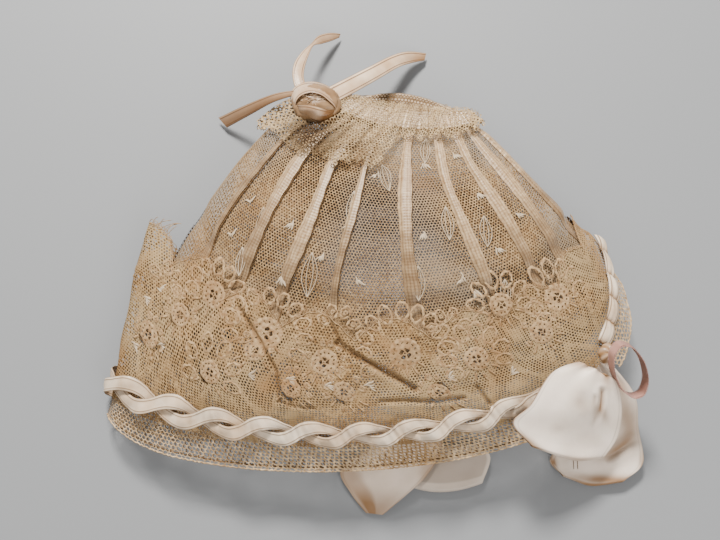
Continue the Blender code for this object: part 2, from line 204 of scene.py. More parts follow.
UP = np.array((0.0, 0.0, 1.0))
EYE = np.array(camera.location) / MM
VIEW_UP = np.array((0.0, math.cos(CAMERA_TILT), math.sin(CAMERA_TILT)))
VIEW_AHEAD = np.array((0.0, math.sin(CAMERA_TILT), -math.cos(CAMERA_TILT)))


def photo_px(points):
    """Where points, in millimetres, fall in the photograph, in its pixels."""
    depth = (points - EYE) @ VIEW_AHEAD
    return np.stack((
        0.5 * PHOTO_SIZE[0] + FOCAL_PX * (points - EYE)[..., 0] / depth,
        0.5 * PHOTO_SIZE[1] - FOCAL_PX * ((points - EYE) @ VIEW_UP) / depth), axis=-1)


def under_px(pixels, height):
    """Points at a height above the table, in millimetres, that show at the pixels."""
    right = (pixels[..., :1] / PHOTO_SIZE[0] - 0.5) * PHOTO_SIZE[0] / FOCAL_PX
    up = (0.5 * PHOTO_SIZE[1] - pixels[..., 1:2]) / FOCAL_PX
    ray = VIEW_AHEAD + right * np.array((1.0, 0.0, 0.0)) + up * VIEW_UP
    return EYE + ray * ((height - EYE[2]) / ray[..., 2])[..., None]


# Crown net
# The body of the bonnet is fine cotton net, pressed into nine pleats that run
# from the gathered crown down to the lace. It is hollow, so both of its layers
# are netted, and the table shows through between the pleats.

# Sections from the crown ring (s = 0) to the face edge (s = 1), as the CAD has
# them: s, the ends and handles of a Bezier curve in plan, then the heights of
# the folds, of the crest and of the layer below, and how far that is set back.
SECTIONS = np.array([
    (0.00, -14.0, 62.5, -9.5, 50.5, 29.0, 48.0, 35.5, 55.5, 15.0, 24.0, 5.0, 13.0),
    (0.14, -31.0, 61.0, -25.0, 26.5, 36.5, 24.0, 43.5, 48.5, 13.0, 32.0, 2.5, 8.0),
    (0.30, -48.0, 45.0, -39.5, -1.0, 49.5, -1.0, 56.5, 36.0, 11.0, 37.0, 0.0, 5.0),
    (0.45, -61.5, 27.0, -52.0, -22.5, 62.5, -22.5, 67.5, 25.5, 9.5, 36.0, 0.0, 7.0),
    (0.60, -72.5, 11.0, -62.0, -42.5, 76.5, -41.0, 75.0, 18.0, 8.5, 33.0, 0.0, 9.0),
    (0.78, -84.0, -14.0, -72.0, -63.0, 97.0, -60.0, 79.5, 15.5, 7.5, 28.0, 0.0, 12.0),
    (1.00, -95.5, -46.5, -52.0, -76.0, 121.0, -74.0, 81.5, 12.0, 7.0, 22.0, 0.0, 15.0)])
PLEATS = (0.10, 0.20, 0.30, 0.40, 0.54, 0.68, 0.79, 0.88, 0.962)
PLEAT_WIDTH, PLEAT_RISE = 4.4, 1.0
NET_PITCH, NET_BAR = 1.10, 0.42
CROWN_END = 0.66           # the net ends here, tucked in under the lace
NET_TUCK = 1.5


def smooth(low, high, value):
    """0 below low, 1 above high, and an even slope between."""
    u = np.clip((value - low) / (high - low), 0.0, 1.0)
    return u * u * (3.0 - 2.0 * u)


def blend_rows(s):
    """Read the section table at each s, with smooth slopes through its rows."""
    stops = SECTIONS[:, 0]
    slopes = np.empty_like(SECTIONS)
    slopes[1:-1] = (SECTIONS[2:] - SECTIONS[:-2]) / (stops[2:] - stops[:-2])[:, None]
    slopes[0] = (SECTIONS[1] - SECTIONS[0]) / (stops[1] - stops[0])
    slopes[-1] = (SECTIONS[-1] - SECTIONS[-2]) / (stops[-1] - stops[-2])
    k = np.clip(np.searchsorted(stops, s) - 1, 0, len(stops) - 2)
    span = (stops[k + 1] - stops[k])[:, None]
    u = (s[:, None] - stops[k][:, None]) / span
    low, high = SECTIONS[k], SECTIONS[k + 1]
    rows = (low * (2 * u**3 - 3 * u**2 + 1) + high * (3 * u**2 - 2 * u**3)
            + slopes[k] * span * (u**3 - 2 * u**2 + u) + slopes[k + 1] * span * (u**3 - u**2))
    rows = np.where(u < 0.0, low + slopes[k] * span * u, rows)
    return np.where(u > 1.0, high + slopes[k + 1] * span * (u - 1.0), rows)


def bezier(t, p, a, b, q):
    """Points at t on the cubic curves from p to q with handles a and b."""
    r = 1.0 - t
    return r**3 * p + 3 * r * r * t * a + 3 * r * t * t * b + t**3 * q


def across_at(phi):
    """Place across a layer of an angle, from 0 at the forehead fold to 1 at the nape."""
    return 0.5 * (1.0 - np.cos(phi))


def body(s, phi):
    """Points on the body: phi 0 is the forehead fold, pi the nape, and the upper
    layer lies between them; from 0 down to -pi runs the layer below."""
    s, phi = np.broadcast_arrays(np.asarray(s, float), np.asarray(phi, float))
    shape = s.shape
    s, phi = s.ravel(), phi.ravel()
    _, lx, ly, ax, ay, bx, by, rx, ry, fold, crest, rest, back = blend_rows(s).T
    t = across_at(phi)
    side = np.abs(np.sin(phi))
    upper = np.sin(phi) >= 0.0
    back = np.where(upper, 0.0, back * 4.0 / 3.0)
    rest = np.maximum(rest, 0.0)
    x = bezier(t, lx, ax, bx, rx)
    y = bezier(t, ly, ay + back, by + back, ry)
    above = fold + (crest - fold) * side**1.1
    below = rest + (fold - rest) * np.maximum(0.0, 1.0 - 1.08 * side**0.6)
    return np.stack((x, y, np.where(upper, above, below)), axis=-1).reshape(*shape, 3)


def unit(vectors):
    """The same vectors at length one."""
    return vectors / np.linalg.norm(vectors, axis=-1, keepdims=True)


def outward(s, phi):
    """Unit normals of the body, away from the hollow."""
    along = body(s + 0.012, phi) - body(s - 0.012, phi)
    return unit(np.cross(along, body(s, phi + 0.03) - body(s, phi - 0.03)))


def skin(s, phi, lift=0.0):
    """Points at a height above the body, never below the table."""
    s, phi, lift = np.broadcast_arrays(s, phi, lift)
    points = body(s, phi) + outward(s, phi) * lift[..., None]
    points[..., 2] = np.maximum(points[..., 2], TABLE_CLEAR)
    return points


def phi_of(t):
    """Angle of the place t, from 0 at the forehead fold to 1 at the nape."""
    return np.arccos(np.clip(1.0 - 2.0 * np.asarray(t, float), -1.0, 1.0))


# Lengths along the sections, so that cloth keeps its size as it goes round

RULER_S = np.linspace(-0.12, 1.16, 65)
RULER_PHI = np.linspace(-math.pi, math.pi, 721)
ruler_points = body(RULER_S[:, None], RULER_PHI[None, :])
ruler_steps = np.linalg.norm(np.diff(ruler_points, axis=1), axis=2)
RULER_ARC = np.concatenate((np.zeros((len(RULER_S), 1)), np.cumsum(ruler_steps, axis=1)), axis=1)
RULER_ARC -= RULER_ARC[:, [len(RULER_PHI) // 2]]
ARC_STOPS = np.linspace(-330.0, 330.0, 1321)
ARC_PHI = np.array([
    np.interp(ARC_STOPS, arc, RULER_PHI, left=-math.pi, right=math.pi) for arc in RULER_ARC])


def read_ruler(table, rows, stops, columns):
    """Read a table between its rows of s and its evenly spaced columns."""
    i = np.clip((rows - RULER_S[0]) / (RULER_S[1] - RULER_S[0]), 0.0, len(RULER_S) - 1.001)
    j = np.clip((columns - stops[0]) / (stops[1] - stops[0]), 0.0, len(stops) - 1.001)
    i0, j0 = i.astype(int), j.astype(int)
    fi, fj = i - i0, j - j0
    return ((table[i0, j0] * (1 - fj) + table[i0, j0 + 1] * fj) * (1 - fi)
            + (table[i0 + 1, j0] * (1 - fj) + table[i0 + 1, j0 + 1] * fj) * fi)


def arc_of(s, phi):
    """Millimetres from the forehead fold to an angle, along its section."""
    s, phi = np.broadcast_arrays(np.asarray(s, float), np.asarray(phi, float))
    return read_ruler(RULER_ARC, s, RULER_PHI, phi)


def phi_at(s, arc):
    """Angle that lies so many millimetres from the forehead fold."""
    s, arc = np.broadcast_arrays(np.asarray(s, float), np.asarray(arc, float))
    return read_ruler(ARC_PHI, s, ARC_STOPS, arc)


def run_down(phi, start, end):
    """Table of s against the millimetres from s = start, down one line of the body."""
    s = np.linspace(start, end, 121)
    points = body(s, np.full_like(s, phi))
    steps = np.linalg.norm(np.diff(points, axis=0), axis=1)
    return np.concatenate(((0.0,), np.cumsum(steps))), s


def flat_net(name, width, length, pitch, bar):
    """Flat hexagon net, centred on x and starting at y = 0: two meshes of it are
    modelled, and the pair is repeated both ways."""
    row = pitch * math.sqrt(3.0)
    columns, pairs = int(width / pitch) + 2, int(length / row) + 2
    bpy.ops.object.select_all(action="DESELECT")
    bpy.ops.mesh.primitive_circle_add(
        vertices=6, radius=pitch / math.sqrt(3.0), fill_type="NGON",
        location=(-0.5 * columns * pitch, 0.0, 0.0))
    net = bpy.context.object
    net.name = name
    bpy.ops.object.transform_apply(location=True, rotation=False, scale=False)
    bpy.ops.object.mode_set(mode="EDIT")
    bpy.ops.mesh.inset(thickness=0.5 * bar, depth=0.0, use_boundary=True)
    bpy.ops.mesh.delete(type="ONLY_FACE")
    bpy.ops.mesh.select_all(action="SELECT")
    bpy.ops.mesh.duplicate()
    bpy.ops.transform.translate(value=(0.5 * pitch, 0.5 * row, 0.0))
    bpy.ops.object.mode_set(mode="OBJECT")
    for count, step in ((columns, (pitch, 0.0, 0.0)), (pairs, (0.0, row, 0.0))):
        repeat = net.modifiers.new("repeat", "ARRAY")
        repeat.count = count
        repeat.use_relative_offset = False
        repeat.use_constant_offset = True
        repeat.constant_offset_displace = step
        bpy.ops.object.modifier_apply(modifier=repeat.name)
    return net


CELL_POINTS = 12           # six where the threads meet and six inside them


def points_of(piece):
    """The mesh's points as an array."""
    flat = np.empty(3 * len(piece.data.vertices))
    piece.data.vertices.foreach_get("co", flat)
    return flat.reshape(-1, 3)


def put_points(piece, points):
    """Give the mesh its points, in millimetres."""
    piece.data.vertices.foreach_set("co", (points * MM).ravel())
    piece.data.update()


def set_values(piece, name, values):
    """Give each of the mesh's points a value, under a name that its material reads."""
    made = piece.data.attributes.new(name, "FLOAT", "POINT")
    made.data.foreach_set("value", values)


def only(piece):
    """Select one piece alone and make it the active one."""
    bpy.ops.object.select_all(action="DESELECT")
    piece.select_set(True)
    bpy.context.view_layer.objects.active = piece


def round_piece(name, segments, rings):
    """A ball of radius one, and its points."""
    bpy.ops.object.select_all(action="DESELECT")
    bpy.ops.mesh.primitive_uv_sphere_add(segments=segments, ring_count=rings, radius=1.0)
    made = bpy.context.object
    made.name = name
    return made, points_of(made)


def edit_all(piece, *steps):
    """Run edit-mode steps on the whole of one piece."""
    only(piece)
    bpy.ops.object.mode_set(mode="EDIT")
    bpy.ops.mesh.select_mode(type="VERT")
    bpy.ops.mesh.select_all(action="SELECT")
    for step in steps:
        step()
    bpy.ops.object.mode_set(mode="OBJECT")


def cut_net(net, keep):
    """Take out the cells of a flat net that keep(x, y) of their centres refuses."""
    cells = points_of(net).reshape(-1, CELL_POINTS, 3)
    centres = cells.mean(axis=1)
    gone = np.repeat(~keep(centres[:, 0], centres[:, 1]), CELL_POINTS)
    net.data.vertices.foreach_set("select", gone)
    net.data.edges.foreach_set("select", np.zeros(len(net.data.edges), bool))
    net.data.polygons.foreach_set("select", np.zeros(len(net.data.polygons), bool))
    only(net)
    bpy.ops.object.mode_set(mode="EDIT")
    bpy.ops.mesh.select_mode(type="VERT")
    bpy.ops.mesh.delete(type="VERT")
    bpy.ops.object.mode_set(mode="OBJECT")


def lay_net(net, place, close=None, round_by=0.09):
    """Put a flat net where place(x, y, drop) says. Its threads are rounded by a
    small drop at their edges, and close(x, y) fills cells in, from 1 to 0."""
    cells = points_of(net).reshape(-1, CELL_POINTS, 3)
    centres = cells.mean(axis=1, keepdims=True)
    reach = np.linalg.norm(cells - centres, axis=2)
    inside = reach < 0.97 * reach.max()
    if close is not None:
        share = close(centres[:, 0, 0], centres[:, 0, 1])[:, None, None]
        cells = np.where(inside[..., None], centres + (cells - centres) * share, cells)
    x, y = cells[..., 0].ravel(), cells[..., 1].ravel()
    uneven = 0.07 * np.sin(2.1 * x + 0.7 * y) + 0.07 * np.sin(1.3 * y - 0.6 * x + 1.0)
    put_points(net, place(x + uneven, y + 0.8 * uneven, round_by * inside.ravel()))
    edit_all(net, lambda: bpy.ops.mesh.remove_doubles(threshold=MERGE))
    bpy.ops.object.shade_smooth()


def join(name, parts):
    """One piece from several meshes."""
    bpy.ops.object.select_all(action="DESELECT")
    for part in parts:
        part.select_set(True)
    bpy.context.view_layer.objects.active = parts[0]
    if len(parts) > 1:
        bpy.ops.object.join()
    parts[0].name = name
    parts[0].data.name = name
    return parts[0]


def noise(tree, coordinates, scale, detail, rough=0.55):
    """A noise texture on the given coordinates."""
    made = tree.nodes.new("ShaderNodeTexNoise")
    made.inputs["Scale"].default_value = scale
    made.inputs["Detail"].default_value = detail
    made.inputs["Roughness"].default_value = rough
    tree.links.new(coordinates, made.inputs["Vector"])
    return made.outputs["Fac"]


def ramp(tree, factor, *stops):
    """A colour ramp with the given (place, colour) stops."""
    made = tree.nodes.new("ShaderNodeValToRGB")
    for k, (place, colour) in enumerate(stops):
        if k > 1:
            made.color_ramp.elements.new(place)
        made.color_ramp.elements[k].position = place
        made.color_ramp.elements[k].color = (*colour, 1.0)
    tree.links.new(factor, made.inputs["Fac"])
    return made.outputs["Color"]


def mixed(tree, factor, first, second, blend="MIX"):
    """Two colours mixed by a factor that is a socket or a number."""
    made = tree.nodes.new("ShaderNodeMix")
    made.data_type = "RGBA"
    made.blend_type = blend
    for socket, value in ((made.inputs[0], factor), (made.inputs[6], first), (made.inputs[7], second)):
        if isinstance(value, bpy.types.NodeSocket):
            tree.links.new(value, socket)
        elif isinstance(value, tuple):
            socket.default_value = (*value, 1.0)
        else:
            socket.default_value = value
    return made.outputs[2]


def bumped(tree, shader, height, strength, distance):
    """Surface relief from a height socket."""
    bump = tree.nodes.new("ShaderNodeBump")
    bump.inputs["Strength"].default_value = strength
    bump.inputs["Distance"].default_value = distance
    tree.links.new(height, bump.inputs["Height"])
    tree.links.new(bump.outputs["Normal"], shader.inputs["Normal"])


def new_material(name):
    """A new material, its node tree and its shader."""
    made = bpy.data.materials.new(name)
    made.use_nodes = True
    return made, made.node_tree, made.node_tree.nodes["Principled BSDF"]


def point_values(tree, name):
    """The values that set_values gave a mesh under that name."""
    made = tree.nodes.new("ShaderNodeAttribute")
    made.attribute_name = name
    return made.outputs["Fac"]


def aged_thread(name, pale, deep, stain, roughness=0.85, sheen=0.0, washed=None):
    """Aged cotton: threads that differ a little, tea-brown stains in patches, paler
    washed patches, and darker brown where the attribute "age" says: soil with
    painted shade in creases, the rosette's painted shadow, and the pleats where
    they turn back to net."""
    made, tree, shader = new_material(name)
    place = tree.nodes.new("ShaderNodeTexCoord").outputs["Object"]
    threads = ramp(tree, noise(tree, place, 750.0, 2.0), (0.30, deep), (0.68, pale))
    patches = ramp(tree, noise(tree, place, 42.0, 3.0), (0.52, (0.0,) * 3), (0.72, (0.62,) * 3))
    if washed:
        worn = ramp(tree, noise(tree, place, 26.0, 2.0), (0.44, (0.0,) * 3), (0.60, (0.75,) * 3))
        threads = mixed(tree, worn, threads, washed)
    stained = mixed(tree, patches, threads, stain)
    shade_and_soil = mixed(tree, point_values(tree, "age"), stained, tuple(0.42 * v for v in stain))
    tree.links.new(shade_and_soil, shader.inputs["Base Color"])
    shader.inputs["Roughness"].default_value = roughness
    shader.inputs["Sheen Weight"].default_value = sheen
    shader.inputs["Specular IOR Level"].default_value = 0.2 + sheen
    bumped(tree, shader, noise(tree, place, 3800.0, 2.0), 0.35, 0.0001)
    return made


def dress(piece, node, material, slot_name):
    """Finish one piece: its material, body, CAD node and material slot."""
    piece.data.materials.clear()
    piece.data.materials.append(material)
    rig.ride(piece, "root")
    if node:
        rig.replaces(piece, node)
    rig.slot(piece, slot_name)


net_cotton = aged_thread("net_cotton", (0.37, 0.243, 0.12), (0.165, 0.09, 0.038), (0.205, 0.10, 0.033),
                         washed=(0.265, 0.197, 0.127))
# Darker cotton for layers that lie beneath others, the lower crown and lace and the face frill's under layer: painted
# shade.
shaded_cotton = aged_thread("shaded_cotton", (0.243, 0.15, 0.071), (0.143, 0.082, 0.036), (0.16, 0.08, 0.03))


def crown_lift(s):
    """Height of the net above the body: it sinks where the lace lies over it."""
    return -NET_TUCK * smooth(0.44, 0.51, s)


# An open net's mesh holds its threads alone, so these nets are declared by a
# share of their cut. The shares are chosen to fit the meshes and not measured.
BELOW_SHARE, FRILL_SHARE, COLLAR_SHARE = 0.75, 0.6, 0.8


def cut_size(start, end, low, high, surface, solid=1.0):
    """Flat size of the cloth between two sections and two angles of a surface: its
    width and length in metres, and its area, or the share "solid" of that area."""
    s, phi = np.meshgrid(np.linspace(start, end, 60), np.linspace(low, high, 160), indexing="ij")
    points = surface(s, phi) * MM
    across, down = np.diff(points, axis=1), np.diff(points, axis=0)
    width = np.linalg.norm(across, axis=2).sum(axis=1).max()
    length = np.linalg.norm(down, axis=2).sum(axis=0).max()
    area = np.linalg.norm(np.cross(across[:-1], down[:, :-1]), axis=2).sum()
    return {"flat": (float(width), float(length)), "area": solid * float(area)}


def net_density(s, phi):
    """How open the cells are: the net is drawn closed in soft patches."""
    patch = np.sin(31.0 * s + 2.0 * np.sin(5.0 * phi)) * np.sin(7.3 * phi + 3.0 * s)
    middle = np.exp(-((phi - 1.50) / 0.34) ** 2 - ((s - 0.27) / 0.13) ** 2)
    uneven = 0.06 * np.sin(811.0 * s) * np.sin(613.0 * phi)
    return 1.10 - 0.34 * smooth(-0.4, 0.8, patch) * (1.0 - middle) + 0.16 * middle + uneven


def net_gore(name, phi_mid, arc_low, arc_high, pitch, bar, start, end, surface, also=None, close=None):
    """Net on one gore, anchored down its middle line: arc_low(s) and arc_high(s)
    are its sides, and surface(s, phi, drop) gives its points."""
    run, stops = run_down(phi_mid, start, end)
    span = np.linspace(start, end, 20)
    width = 2.0 * np.max(np.maximum(
        arc_high(span) - arc_of(span, phi_mid), arc_of(span, phi_mid) - arc_low(span)))
    net = flat_net(name, width, run[-1], pitch, bar)

    def on_body(x, y):
        s = np.interp(y, run, stops)
        return s, arc_of(s, phi_mid) + x

    def keep(x, y):
        s, arc = on_body(x, y)
        kept = (arc > arc_low(s)) & (arc < arc_high(s)) & (y < run[-1])
        return kept if also is None else kept & also(s, phi_at(s, arc))

    def place(x, y, drop):
        s, arc = on_body(x, y)
        return surface(s, phi_at(s, arc), -drop)

    def closed(x, y):
        s, arc = on_body(x, y)
        return close(s, phi_at(s, arc))

    cut_net(net, keep)
    lay_net(net, place, None if close is None else closed)
    return net


def crown_skin(s, phi, lift):
    """Points at a height above the crown net."""
    return skin(s, phi, crown_lift(s) + lift)


def gore_sides(before, after):
    """Sides of a gore between two places across the layer, 0 and 1 its folds."""
    low = (lambda s: 0.0 * s - 2.0) if before == 0.0 else (
        lambda s, phi=phi_of(before): arc_of(s, phi) - 0.4)
    high = (lambda s: arc_of(s, math.pi)) if after == 1.0 else (
        lambda s, phi=phi_of(after): arc_of(s, phi) + 0.4)
    return float(phi_of(0.5 * (before + after))), low, high


gores = []
borders = (0.0, *PLEATS, 1.0)
for before, after in zip(borders, borders[1:]):
    gores.append(net_gore(
        "gore", *gore_sides(before, after), NET_PITCH, NET_BAR, -0.03, CROWN_END, crown_skin,
        close=net_density))
crown_net = join("crown_net_upper", gores)
dress(crown_net, "crown_net", net_cotton, "ecru_net")
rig.sheet(crown_net, held="gathered", rests_on=["crown_net_below"],
         **cut_size(0.0, CROWN_END, 0.0, math.pi, skin))
crown_below = net_gore(
    "crown_net_below", -0.5 * math.pi,
    lambda s: arc_of(s, -math.pi) + 1.0, lambda s: 0.0 * s - 1.0, 1.25, 0.45, -0.03, CROWN_END,
    lambda s, phi, lift: skin(s, phi, 0.3 * crown_lift(s) + lift))
dress(crown_below, "crown_net", shaded_cotton, "ecru_net")
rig.sheet(crown_below, held="gathered", rests_on=["lace_ground_below"],
         **cut_size(0.0, CROWN_END, -math.pi, 0.0, skin, solid=BELOW_SHARE))

# A paler patch on the lower layer stands for the light that the table throws up
# between the middle pleats

shaded_tree = shaded_cotton.node_tree
where_lit = shaded_tree.nodes.new("ShaderNodeMapping")
where_lit.vector_type = "TEXTURE"
where_lit.inputs["Location"].default_value = (0.004, 0.010, 0.004)
where_lit.inputs["Scale"].default_value = (0.030, 0.034, 0.030)
lit = shaded_tree.nodes.new("ShaderNodeTexGradient")
lit.gradient_type = "SPHERICAL"
lit_from = shaded_tree.nodes.new("ShaderNodeTexCoord")
shaded_tree.links.new(lit_from.outputs["Object"], where_lit.inputs["Vector"])
shaded_tree.links.new(where_lit.outputs["Vector"], lit.inputs["Vector"])
lit_share = ramp(shaded_tree, lit.outputs["Fac"], (0.05, (0.0,) * 3), (0.60, (0.85,) * 3))
shaded_base = shaded_tree.nodes["Principled BSDF"].inputs["Base Color"]
shaded_tree.links.new(
    mixed(shaded_tree, lit_share, shaded_base.links[0].from_socket, (0.50, 0.46, 0.47)), shaded_base)


# Pleats
# Each pleat is three layers of the net pressed flat, so it looks solid and pale,
# with the net's rows as fine ribs across it. One edge stands free, with a dark
# thread along it as its painted shadow.

PLEAT_RIB = 1.05
PLEAT_FULLNESS = (0.75, 1.1, 1.0, 0.6, 1.05, 0.85, 0.9, 0.95, 0.7)
PLEAT_FADE = (0.20, 0.34, 0.40, 0.30, 0.30, 0.42, 0.38, 0.36, 0.28)   # where each turns back to net


def threads(name, paths, radius, resolution=1):
    """Round threads along paths of points, as one mesh."""
    curve = bpy.data.curves.new(name, "CURVE")
    curve.dimensions = "3D"
    curve.bevel_depth = radius * MM
    curve.bevel_resolution = resolution
    curve.use_fill_caps = True
    for path in paths:
        spline = curve.splines.new("POLY")
        spline.points.add(len(path) - 1)
        spline.points.foreach_set("co", np.hstack((path * MM, np.ones((len(path), 1)))).ravel())
    piece = bpy.data.objects.new(name, curve)
    bpy.context.collection.objects.link(piece)
    only(piece)
    bpy.ops.object.convert(target="MESH")
    bpy.ops.object.shade_smooth()
    return bpy.context.object


def cloth_grid(name, points, thickness, wrap=False, shade=0.0):
    """Cloth on a grid of points: rows run along it and columns across it. Its UV
    map is in millimetres, "edge" runs from 0 in the middle to 1 at a side, and
    "shade" says how tan each point is, with the tan of old satin and with painted shade."""
    shade = np.broadcast_to(shade, points.shape[:2])
    if wrap:
        points = np.concatenate((points, points[:1]))
        shade = np.concatenate((shade, shade[:1]))
    rows, columns = points.shape[:2]
    bpy.ops.object.select_all(action="DESELECT")
    bpy.ops.mesh.primitive_grid_add(x_subdivisions=columns - 1, y_subdivisions=rows - 1, size=1.0)
    piece = bpy.context.object
    piece.name = name
    piece.data.name = name
    put_points(piece, points.reshape(-1, 3))
    middle = points[:, columns // 2]
    along = np.concatenate(((0.0,), np.cumsum(np.linalg.norm(np.diff(middle, axis=0), axis=1))))
    across = np.linalg.norm(np.diff(points, axis=1), axis=2).mean(axis=0)
    across = np.concatenate(((0.0,), np.cumsum(across)))
    flat = np.stack(np.broadcast_arrays(along[:, None], across[None, :]), axis=-1).reshape(-1, 2)
    corners = np.empty(len(piece.data.loops), dtype=int)
    piece.data.loops.foreach_get("vertex_index", corners)
    piece.data.uv_layers[0].data.foreach_set("uv", flat[corners].ravel())
    edge = np.abs(np.linspace(-1.0, 1.0, columns))
    set_values(piece, "edge", np.broadcast_to(edge, (rows, columns)).ravel())
    set_values(piece, "shade", np.clip(shade, 0.0, 1.0).ravel())
    if wrap:
        edit_all(piece, lambda: bpy.ops.mesh.remove_doubles(threshold=MERGE))
    wall = piece.modifiers.new("cloth", "SOLIDIFY")
    wall.thickness = thickness * MM
    wall.offset = 0.0
    only(piece)
    bpy.ops.object.modifier_apply(modifier=wall.name)
    bpy.ops.object.shade_smooth_by_angle(angle=math.radians(60.0))
    return piece


pleat_cotton = aged_thread("pleat_cotton", (0.507, 0.364, 0.208), (0.324, 0.201, 0.099), (0.313, 0.17, 0.068),
                           roughness=0.40, sheen=0.15)
pleat_tree = pleat_cotton.node_tree
pleat_shader = pleat_tree.nodes["Principled BSDF"]
pleat_rows = pleat_tree.nodes.new("ShaderNodeTexWave")
pleat_rows.bands_direction = "Y"
pleat_rows.inputs["Scale"].default_value = 0.32
pleat_rows.inputs["Distortion"].default_value = 1.6
pleat_rows.inputs["Detail"].default_value = 2.0
pleat_uv = pleat_tree.nodes.new("ShaderNodeUVMap").outputs["UV"]
pleat_tree.links.new(pleat_uv, pleat_rows.inputs["Vector"])
row_shade = ramp(pleat_tree, pleat_rows.outputs["Fac"], (0.15, (0.66, 0.60, 0.54)), (0.6, (1.0,) * 3))
pleat_base = pleat_shader.inputs["Base Color"].links[0].from_socket
pleat_tree.links.new(mixed(pleat_tree, 0.85, pleat_base, row_shade, "MULTIPLY"),
                     pleat_shader.inputs["Base Color"])
# Dark brown thread, for the painted shadow along each pleat's free edge and for the bow's old stitches.
edge_cotton = aged_thread("edge_cotton", (0.193, 0.107, 0.043), (0.093, 0.046, 0.018), (0.214, 0.107, 0.036))


def on_crown(points_s, phi_mid, aside, lift):
    """Points beside a line down the crown, in millimetres, at a height above it."""
    around = phi_at(points_s, arc_of(points_s, phi_mid) + aside)
    return skin(points_s, around, crown_lift(points_s) + lift)


pleat_strips, pleat_edges = [], []
for k, t in enumerate(PLEATS):
    phi_mid = float(phi_of(t))
    run, stops = run_down(phi_mid, -0.02, CROWN_END)
    y = np.linspace(0.0, run[-1], int(run[-1] * 3.0))
    s = np.interp(y, run, stops)
    sway = 0.75 * np.sin(0.085 * y + 1.7 * k) * smooth(0.05, 0.2, s)
    half = 0.5 * PLEAT_WIDTH * PLEAT_FULLNESS[k] * (0.72 + 0.28 * smooth(0.05, 0.3, s))
    half = half * (1.0 + 0.16 * np.sin(0.16 * y + 2.3 * k) + 0.05 * np.sin(0.9 * y + k))
    height = PLEAT_RISE * (0.3 + 0.7 * smooth(0.03, 0.12, s)) * (1.0 - smooth(0.46, 0.53, s))
    rib = 0.07 * np.sin(2.0 * math.pi * y / PLEAT_RIB)
    grid = []
    for across in np.linspace(0.0, 1.0, 9):
        rise = 0.2 + height * smooth(0.0, 0.4, across) + rib * smooth(0.0, 0.2, across)
        grid.append(on_crown(s, phi_mid, sway + half * (2.0 * across - 1.0), rise))
    strip = cloth_grid("pleat", np.stack(grid, axis=1), 0.18)
    down = points_of(strip)[:, 1]
    along = np.interp(down, grid[4][::-1, 1] * MM, s[::-1])
    cloud = 0.12 * np.sin(900.0 * down + 2.0 * k)
    set_values(strip, "age", 0.62 * smooth(PLEAT_FADE[k] - 0.1, PLEAT_FADE[k] + 0.1, along) + cloud)
    pleat_strips.append(strip)
    shown = s < (0.40 if k == len(PLEATS) - 1 else 1.0)       # the last one runs into the fold
    pleat_edges.append(on_crown(s, phi_mid, sway + half + 0.12, 0.05 + 0.6 * height)[shown])
crown_pleats = join("crown_pleats", pleat_strips)
dress(crown_pleats, None, pleat_cotton, "ecru_net")
# Painted shadow: a dark thread along each pleat's free edge.
pleat_shadow_lines = threads("pleat_edge_shadows", pleat_edges, 0.17)
dress(pleat_shadow_lines, None, edge_cotton, "ecru_net")


# Lace band
# Deep lace on the same kind of net along the face edge. Its upper edge is
# scalloped, and flowers with eyelets in their middles are sewn over it, with
# small loops or petals round them and leaves below.

WING_FLARE = 15.5          # how far the lace stands off the crown at the forehead
LACE_PITCH, LACE_BAR = 1.12, 0.46
FLOWER_PX = (              # place, size, and how many petals stand over it at what reach
    (214, 295, 1.10, 8, 9.6), (180, 315, 0.90, 0, 0.0), (254, 349, 0.95, 0, 0.0),
    (267, 333, 1.30, 10, 13.2), (324, 362, 1.05, 0, 0.0), (404, 354, 1.35, 11, 14.2),
    (477, 359, 1.00, 8, 9.6), (542, 332, 1.00, 0, 0.0), (557, 298, 1.15, 8, 9.8),
    (150, 335, 0.95, 0, 0.0), (500, 305, 0.95, 7, 8.8), (345, 392, 0.90, 0, 0.0),
    (290, 388, 0.85, 0, 0.0), (440, 392, 0.85, 0, 0.0), (210, 372, 0.95, 6, 9.0))
FAN_PX = ((166, 284), (338, 326), (449, 330))
FOLDS_PX = (               # creases in the lace, their depth and half width in mm
    (((336, 343), (360, 358), (400, 380), (414, 389)), 1.5, 0.9),
    (((240, 308), (258, 338), (276, 371), (279, 402)), 0.9, 0.6),
    (((279, 402), (296, 407), (313, 409)), 0.35, 0.6),
    (((380, 402), (405, 401), (429, 402), (464, 398)), 0.9, 0.7),
    (((478, 386), (489, 403)), 0.9, 0.7),
    (((325, 312), (334, 328), (340, 343)), 0.8, 0.7),
    (((150, 352), (163, 345)), 0.8, 0.6))
FLOWER_RADIUS = 4.5


def flare(s, phi):
    """Sideways shift of the lace where it stands off the crown at the forehead."""
    shift = np.zeros(np.broadcast(s, phi).shape + (3,))
    shift[..., 0] = -WING_FLARE * np.exp(-(phi / 0.42) ** 2) * np.maximum(0.0, (1.0 - s) / 0.47)
    return shift


def band_top(t):
    """Upper edge of the lace: a row of round scallops, one of them on each fold."""
    return 0.60 - 0.07 * np.abs(np.cos(8.0 * math.pi * t))


grid_s, grid_phi = np.meshgrid(np.linspace(0.0, 1.0, 301), np.linspace(0.02, 3.12, 381), indexing="ij")
crown_seen = photo_px(skin(grid_s, grid_phi))
lace_seen = photo_px(skin(grid_s, grid_phi) + flare(grid_s, grid_phi))


def spots(seen, pixels):
    """The place (s, phi) on the upper layer under each pixel of the photograph."""
    found = []
    for px in pixels:
        nearest = np.argmin(((seen - np.array(px)) ** 2).sum(axis=-1))
        found.append((grid_s.ravel()[nearest], grid_phi.ravel()[nearest]))
    return np.array(found)


